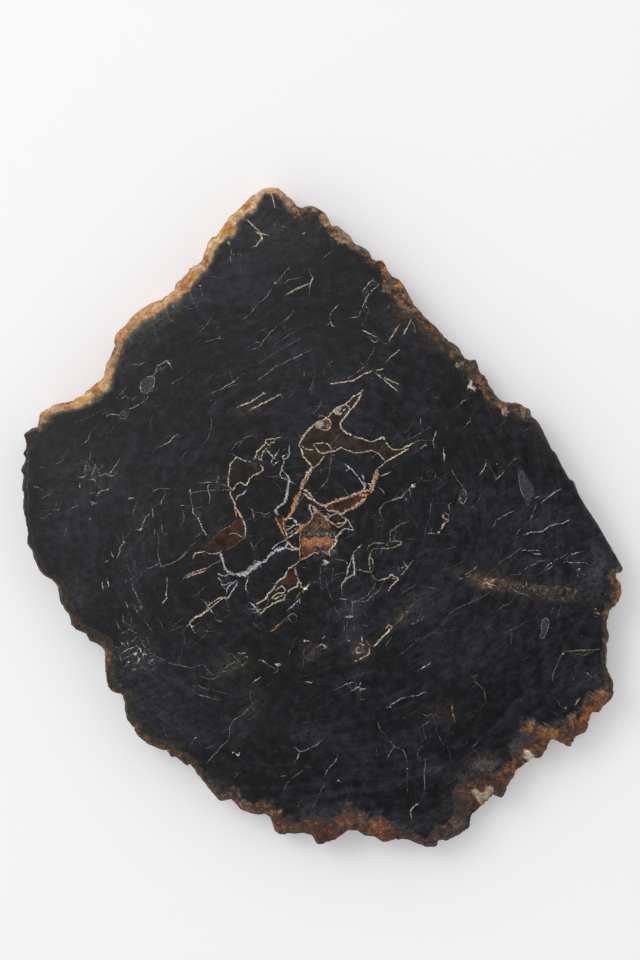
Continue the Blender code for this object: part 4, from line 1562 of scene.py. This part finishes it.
# %% The node helper
def add(tree, kind, inputs=None, output=0, **settings):
    """Add a node, set its own properties, fill its inputs with values or links, give back one output."""
    made = tree.nodes.new(kind)
    for name, value in settings.items():
        setattr(made, name, value)
    for key, value in (inputs or {}).items():
        if isinstance(value, bpy.types.NodeSocket):
            tree.links.new(value, made.inputs[key])
        else:
            made.inputs[key].default_value = value
    return made.outputs[output] if made.outputs else made


def color(hex_color):
    """An sRGB hex colour as the four linear numbers that a colour socket takes."""
    return (*linear(hex_color), 1.0)


def per_size(millimetres):
    """A texture's scale for a pattern of that real size: one over the size in metres."""
    return 1 / (millimetres * MM)


print("a grain of 1 mm is a scale of", per_size(1))

# %% The material and short forms for its nodes
petrified = bpy.data.materials.new("polished_silicified_wood")
petrified.use_nodes = True
tree = petrified.node_tree
tree.nodes.clear()
place = add(tree, "ShaderNodeTexCoord", output="Object")


def stored(name, output="Fac"):
    """What the mesh keeps under a name, as one number or, with output Color, as a colour."""
    return add(tree, "ShaderNodeAttribute", output=output, attribute_name=name)


def noise_texture(size, detail, roughness=0.5, where=place, output="Fac"):
    """Noise with lumps of that many millimetres and ever finer ones on them."""
    inputs = {"Vector": where, "Scale": per_size(size), "Detail": detail, "Roughness": roughness}
    return add(tree, "ShaderNodeTexNoise", inputs, output=output)


def calculate(operation, *values):
    """One step of arithmetic on numbers or sockets.

    MULTIPLY_ADD is the first times the second, plus the third.
    """
    return add(tree, "ShaderNodeMath", dict(enumerate(values)), operation=operation)


def vectors(operation, *values, output=0):
    """The same for places and colours."""
    return add(tree, "ShaderNodeVectorMath", dict(enumerate(values)), output=output, operation=operation)


def scaled(vector, by):
    """A colour made lighter or darker by a factor."""
    return add(tree, "ShaderNodeVectorMath", {0: vector, "Scale": by}, operation="SCALE")


def stretch(value, low, high, to_low=0.0, to_high=1.0):
    """A value carried from one range to another in a straight line, and held within it."""
    inputs = {"Value": value, "From Min": low, "From Max": high, "To Min": to_low, "To Max": to_high}
    return add(tree, "ShaderNodeMapRange", inputs)


def ease(value, low, high, to_low=0.0, to_high=1.0):
    """The same with a soft start and a soft end."""
    eased = stretch(value, low, high, to_low, to_high)
    eased.node.interpolation_type = "SMOOTHSTEP"
    return eased


def blend(factor, first, second, kind="MIX"):
    """The first colour turning into the second as the factor goes from 0 to 1."""
    inputs = {0: factor, 6: first, 7: second}
    return add(tree, "ShaderNodeMix", inputs, output=2, data_type="RGBA", blend_type=kind)


def blend_numbers(factor, first, second):
    """The same for numbers."""
    return add(tree, "ShaderNodeMix", {"Factor": factor, "A": first, "B": second}, data_type="FLOAT")


print("material is", petrified.name)

# %% [markdown]
# ## Where the pattern sits
#
# Wood has a middle, and stone that was wood keeps it. Besides plain position, the pattern needs the
# distance from the heart, for the growth rings, and the direction out of it, for the rays. Both come
# from Object coordinates, moved so that the heart is their origin.

# %% Growth rings
RING_WIDTH, RING_ROUND, RING_WANDER = 3.0, 0.006, 0.022

heart_place = {"Vector": place, "Location": (-HEART[0] * MM, -HEART[1] * MM, 0)}
from_heart = add(tree, "ShaderNodeMapping", heart_place)
flat = vectors("MULTIPLY", from_heart, (1, 1, 0))
radius = vectors("LENGTH", flat, output="Value")
wavy_radius = calculate("MULTIPLY_ADD", noise_texture(38, 2.0), RING_WANDER, radius)
# Rings lie 3 mm apart, and one runs about a twelfth of the way round before it fades.
ring_place = vectors("MULTIPLY", vectors("NORMALIZE", flat), (RING_ROUND, RING_ROUND, 0))
ring_place = add(tree, "ShaderNodeSeparateXYZ", {0: ring_place}).node.outputs
ring_place = add(tree, "ShaderNodeCombineXYZ", {"X": ring_place[0], "Y": ring_place[1], "Z": wavy_radius})
rings = noise_texture(RING_WIDTH, 3.0, 0.62, where=ring_place)
print("growth rings are", RING_WIDTH, "mm apart")

# %% [markdown]
# ## The black ground
#
# From a step away the face is black; close up it is charcoal, mottled in clouds a few centimetres
# wide, with faint rings and faint strokes. Flat black would look like plastic, so five quiet layers
# lie over each other, none of them strong enough to be noticed alone.

# %% The ground colour
GROUND_DARK, GROUND, GROUND_PALE = "#050506", "#0c0c10", "#25242d"
STROKE_LEAN = math.radians(36)

broad = noise_texture(45, 4.0, 0.6)
mottle = noise_texture(5, 4.0, 0.65)
drift = noise_texture(70, 1.0, output="Color")
drifted = vectors("MULTIPLY_ADD", drift, (0.03, 0.03, 0), place)
lean = {"Vector": drifted, "Rotation": (0, 0, STROKE_LEAN), "Scale": (9, 1, 1)}
leaning = add(tree, "ShaderNodeMapping", lean, vector_type="TEXTURE")
soft_strokes = noise_texture(1.3, 3.0, 0.7, where=leaning)
level = calculate("MULTIPLY_ADD", soft_strokes, 0.4, calculate("ADD", rings, mottle))
level = stretch(calculate("ADD", level, broad), 1.38, 2.05)
ground = add(tree, "ShaderNodeValToRGB", {"Fac": level})
ramp = ground.node.color_ramp
ramp.elements[0].color = color(GROUND_DARK)
ramp.elements[1].color = color(GROUND_PALE)
ramp.elements.new(0.45).color = color(GROUND)
dust = noise_texture(1.6, 5.0, 0.75)
hatch = ease(calculate("MULTIPLY_ADD", soft_strokes, 0.45, dust), 0.58, 0.9, 0.1, 1.6)
ground = blend(0.42, ground, scaled(stored("cloud", "Color"), hatch), kind="ADD")
print("ground is", GROUND_DARK, "to", GROUND_PALE)

# %% [markdown]
# ## Pockets of agate
#
# Agate grows inwards from the walls of its crack, layer on layer, so its bands follow the pocket's
# outline. The depth kept on the mesh is in millimetres, and a sine of it gives bands of a real
# width. Lumps and lenses aren't banded: they get a speckle instead.

# %% The pocket colour
BAND = 1.1

fill = stored("fill")
grit = noise_texture(1.1, 4.0, 0.7)
wobble = calculate("MULTIPLY_ADD", mottle, 2.2, fill)
wave = calculate("SINE", calculate("MULTIPLY", wobble, math.tau / BAND))
milk = stretch(mottle, 0.38, 0.62, 0.35, 1.9)
band_light = calculate("MULTIPLY", stretch(wave, -1.0, 1.0, 0.85, 1.2), milk)
speckle = stretch(grit, 0.36, 0.64, 0.35, 1.6)
shade = blend_numbers(stored("banded"), speckle, band_light)
filling = scaled(stored("fill_tint", "Color"), shade)
fill_mask = ease(calculate("MULTIPLY_ADD", grit, -0.5, fill), -0.35, 0.05)
stone = blend(fill_mask, ground, filling)
print("agate bands are", BAND, "mm wide")

# %% [markdown]
# ## Veins
#
# The number kept for a vein is 1 in its middle and 0 at its edge. Noise as fine as a grain of sand
# eats into it from the sides, so the vein's edge is ragged as on the stone. A thin rusty stain
# follows the cream and pink ones, where iron crept out of the crack.

# %% The vein colour
SAND, BEADS = 1.0, 2.6
STAIN = "#2c1f17"

vein = stored("vein")
vein_tint = stored("vein_tint", "Color")
beads = noise_texture(BEADS, 2.0)
stain_mask = ease(calculate("MULTIPLY", stored("glow"), grit), 0.3, 0.65, 0.0, 0.5)
stone = blend(stain_mask, stone, color(STAIN))
gaps_in_it = calculate("MULTIPLY_ADD", beads, 0.5, noise_texture(SAND, 3.0, 0.6))
eaten = calculate("MULTIPLY_ADD", gaps_in_it, -4.0, vein)
vein_mask = calculate("MULTIPLY", ease(eaten, -2.8, -2.4), stretch(vein, -0.05, 0.15))
dull_tint = vectors("MULTIPLY", vein_tint, (0.46, 0.4, 0.36))
vein_color = blend(ease(beads, 0.34, 0.64), dull_tint, vein_tint)
vein_color = scaled(vein_color, stretch(grit, 0.36, 0.64, 0.6, 1.45))
stone = blend(vein_mask, stone, vein_color)
print("vein edges are eaten by grains of", SAND, "mm")

# %% [markdown]
# ## The crust
#
# Weathered bark is ochre where iron rusted and umber or nearly black where it didn't, in patches of
# a few millimetres. Two colours for each place came with the mesh, and noise mixes them. Grains of a
# millimetre and thin fissures shade the mix, but less so on the pale crust, which is smoother. The
# same noise shifts the line where crust ends, so that it frays.

# %% The crust colour
PATCH, GRIT, FLAKE = 2.6, 1.1, 4.0

crust = stored("crust")
crust_light = stored("crust_light", "Color")
upright = add(tree, "ShaderNodeMapping", {"Vector": place, "Scale": (1, 1, 0.45)})
patches = noise_texture(PATCH, 6.0, 0.72, where=upright)
wrung = noise_texture(3.0, 2.0, where=upright, output="Color")
wrung = vectors("MULTIPLY_ADD", wrung, (0.004, 0.004, 0.004), upright)
grains = add(tree, "ShaderNodeTexVoronoi", {"Vector": wrung, "Scale": per_size(GRIT)}, output="Color")
grains = add(tree, "ShaderNodeSeparateXYZ", {0: grains})
fissure = add(tree, "ShaderNodeTexVoronoi", {"Vector": wrung, "Scale": per_size(FLAKE)}, output="Distance",
              feature="DISTANCE_TO_EDGE")
rind = blend(ease(patches, 0.4, 0.6), stored("crust_dark", "Color"), crust_light)
rind_light = calculate("MULTIPLY", stretch(grains, 0.0, 1.0, 0.6, 1.35), ease(fissure, 0.0, 0.14, 0.6, 1.0))
rind_light = calculate("MULTIPLY", rind_light, ease(patches, 0.56, 0.7, 1.0, 1.9))
redness = add(tree, "ShaderNodeSeparateXYZ", {0: crust_light})
pale = stretch(redness, 0.35, 0.6)
rind_light = blend_numbers(calculate("MULTIPLY", pale, 0.6), rind_light, 0.95)
steadiness = calculate("MULTIPLY_ADD", pale, -2.0, 3.2)
fray = calculate("MULTIPLY_ADD", calculate("ADD", patches, -0.5), steadiness, crust)
crust_mask = ease(fray, -0.1, 0.5)
halo_color = blend(pale, color("#2b2825"), color("#6b6252"))
stone = blend(ease(fray, -0.7, 0.2, 0.0, 0.6), stone, halo_color)
stone = blend(crust_mask, stone, scaled(rind, rind_light))
print("crust patches are", PATCH, "mm wide and its grit", GRIT, "mm")

# %% [markdown]
# ## Gloss and relief
#
# The polish makes the face smooth, the crust stays dull, and the crystals in the hollow glint. The
# bump is only for what is finer than the mesh: grit in the crust and the hair-thin pores of the
# face. Its height is given in metres, so it stays true at any distance.

# %% The shader
DULL, GLINT = 0.82, 0.22
QUARTZ_IOR = 1.54
GRIT_HEIGHT, PORE_SHARE = 0.9, 0.03

glint = stretch(stored("sunk"), 0.3, 0.9)
shine = blend_numbers(crust_mask, stretch(mottle, 0.3, 0.7, 0.27, 0.36), DULL)
shine = blend_numbers(glint, shine, GLINT)
height = calculate("MULTIPLY_ADD", mottle, PORE_SHARE, calculate("MULTIPLY", grit, crust_mask))
bump = add(tree, "ShaderNodeBump", {"Height": height, "Strength": 1.0, "Distance": GRIT_HEIGHT * MM})
shader = add(tree, "ShaderNodeBsdfPrincipled", {"Base Color": stone, "Roughness": shine, "Normal": bump,
                                                "IOR": QUARTZ_IOR})
add(tree, "ShaderNodeOutputMaterial", {"Surface": shader})
mesh.materials.append(petrified)
print("material has", len(tree.nodes), "nodes")

# %% [markdown]
# ## The table and the light
#
# The photograph was taken from straight above, on a white sweep, with one big soft light at the
# upper left and white all round. Straight above the board there is only the dark camera, which is
# why polished black stone still looks black: it mirrors what is above it. So the sky here is white
# at the horizon and dark overhead, and a large area light stands in for the window.

# %% Floor
FLOOR_HALF = 3.0
# The paper glows a little, in place of the light that a studio's white walls throw back on it.
SWEEP_GLOW = 0.2
SWEEP = "#ececee"

floor_mesh = bpy.data.meshes.new("floor")
floor_corners = [(x * FLOOR_HALF, y * FLOOR_HALF, 0) for x, y in ((-1, -1), (1, -1), (1, 1), (-1, 1))]
floor_mesh.from_pydata(floor_corners, [], [(0, 1, 2, 3)])
floor = bpy.data.objects.new("floor", floor_mesh)
bpy.context.scene.collection.objects.link(floor)
# White paper is bright and matt, so it takes a soft shadow and mirrors nothing.
white_sweep = bpy.data.materials.new("white_paper_sweep")
white_sweep.use_nodes = True
paper = white_sweep.node_tree.nodes["Principled BSDF"]
for socket, value in (("Base Color", color(SWEEP)), ("Roughness", 0.9), ("Specular IOR Level", 0.1),
                      ("Emission Color", (1, 1, 1, 1)), ("Emission Strength", SWEEP_GLOW)):
    paper.inputs[socket].default_value = value
floor_mesh.materials.append(white_sweep)
print("floor is", 2 * FLOOR_HALF, "m wide")

# %% Light
SKY, LEAST_SKY, MOST_SKY = 0.83, 0.85, 1.15
# The sky is white up to the first of these, and the ceiling is dark from the second on. Both are
# cosines of the angle from the middle of the ceiling.
WHITE_UP_TO, DARK_FROM = 0.84, 0.93
WINDOW_SIDE = (-0.78, 0.62, 0.0)
DARK_CEILING = Vector((0.27, -0.28, 1.0)).normalized()
WINDOW_PLACE, WINDOW_SIZE, WINDOW_WATTS = (-1.25, 0.95, 1.75), 1.1, 13.5

world = bpy.data.worlds.new("studio")
bpy.context.scene.world = world
world.use_nodes = True
sky = world.node_tree
sky.nodes.clear()
direction = add(sky, "ShaderNodeTexCoord", output="Generated")
overhead = add(sky, "ShaderNodeVectorMath", {0: direction, 1: DARK_CEILING}, output="Value",
               operation="DOT_PRODUCT")
sky_color = add(sky, "ShaderNodeValToRGB", {"Fac": overhead})
sky_ramp = sky_color.node.color_ramp
sky_ramp.elements[0].color = (1, 1, 1, 1)
sky_ramp.elements[0].position = WHITE_UP_TO
sky_ramp.elements[1].color = (0.02, 0.02, 0.024, 1)
sky_ramp.elements[1].position = DARK_FROM
window_side = add(sky, "ShaderNodeVectorMath", {0: direction, 1: WINDOW_SIDE}, output="Value",
                  operation="DOT_PRODUCT")
brightness = add(sky, "ShaderNodeMapRange", {"Value": window_side, "From Min": -1.0,
                                             "To Min": LEAST_SKY * SKY, "To Max": MOST_SKY * SKY})
background = add(sky, "ShaderNodeBackground", {"Color": sky_color, "Strength": brightness})
add(sky, "ShaderNodeOutputWorld", {"Surface": background})

lamp = bpy.data.lights.new("window", "AREA")
lamp.size = WINDOW_SIZE
lamp.energy = WINDOW_WATTS
window = bpy.data.objects.new("window", lamp)
window.location = WINDOW_PLACE
# A lamp shines along its -Z axis, so that axis is turned towards the board.
window.rotation_euler = (-Vector(WINDOW_PLACE)).to_track_quat("-Z", "Y").to_euler()
bpy.context.scene.collection.objects.link(window)
print("window light is at", WINDOW_PLACE)

# %% [markdown]
# ## The camera
#
# It hangs above the board and looks straight down, as the photographer's did. A long lens keeps the
# rough wall from showing more on one side than the photograph has it.

# %% Camera
LENS, SENSOR, CAMERA_HEIGHT = 85.0, 36.0, 1.147
CAMERA_PLACE = (-0.0005, 0.0185)

lens = bpy.data.cameras.new("camera")
lens.lens, lens.sensor_width = LENS, SENSOR
camera = bpy.data.objects.new("camera", lens)
camera.location = (*CAMERA_PLACE, CAMERA_HEIGHT)
bpy.context.scene.collection.objects.link(camera)
bpy.context.scene.camera = camera
bpy.context.scene.view_settings.view_transform = "Standard"
print("camera is", CAMERA_HEIGHT, "m up")

# %% [markdown]
# ## Sizes
#
# The new surface must stay within the plain solid's box, and the solid's box is printed here.

# %% Print the solid's box
print("solid", [round(x, 4) for x in (*cad_low, *cad_high)])
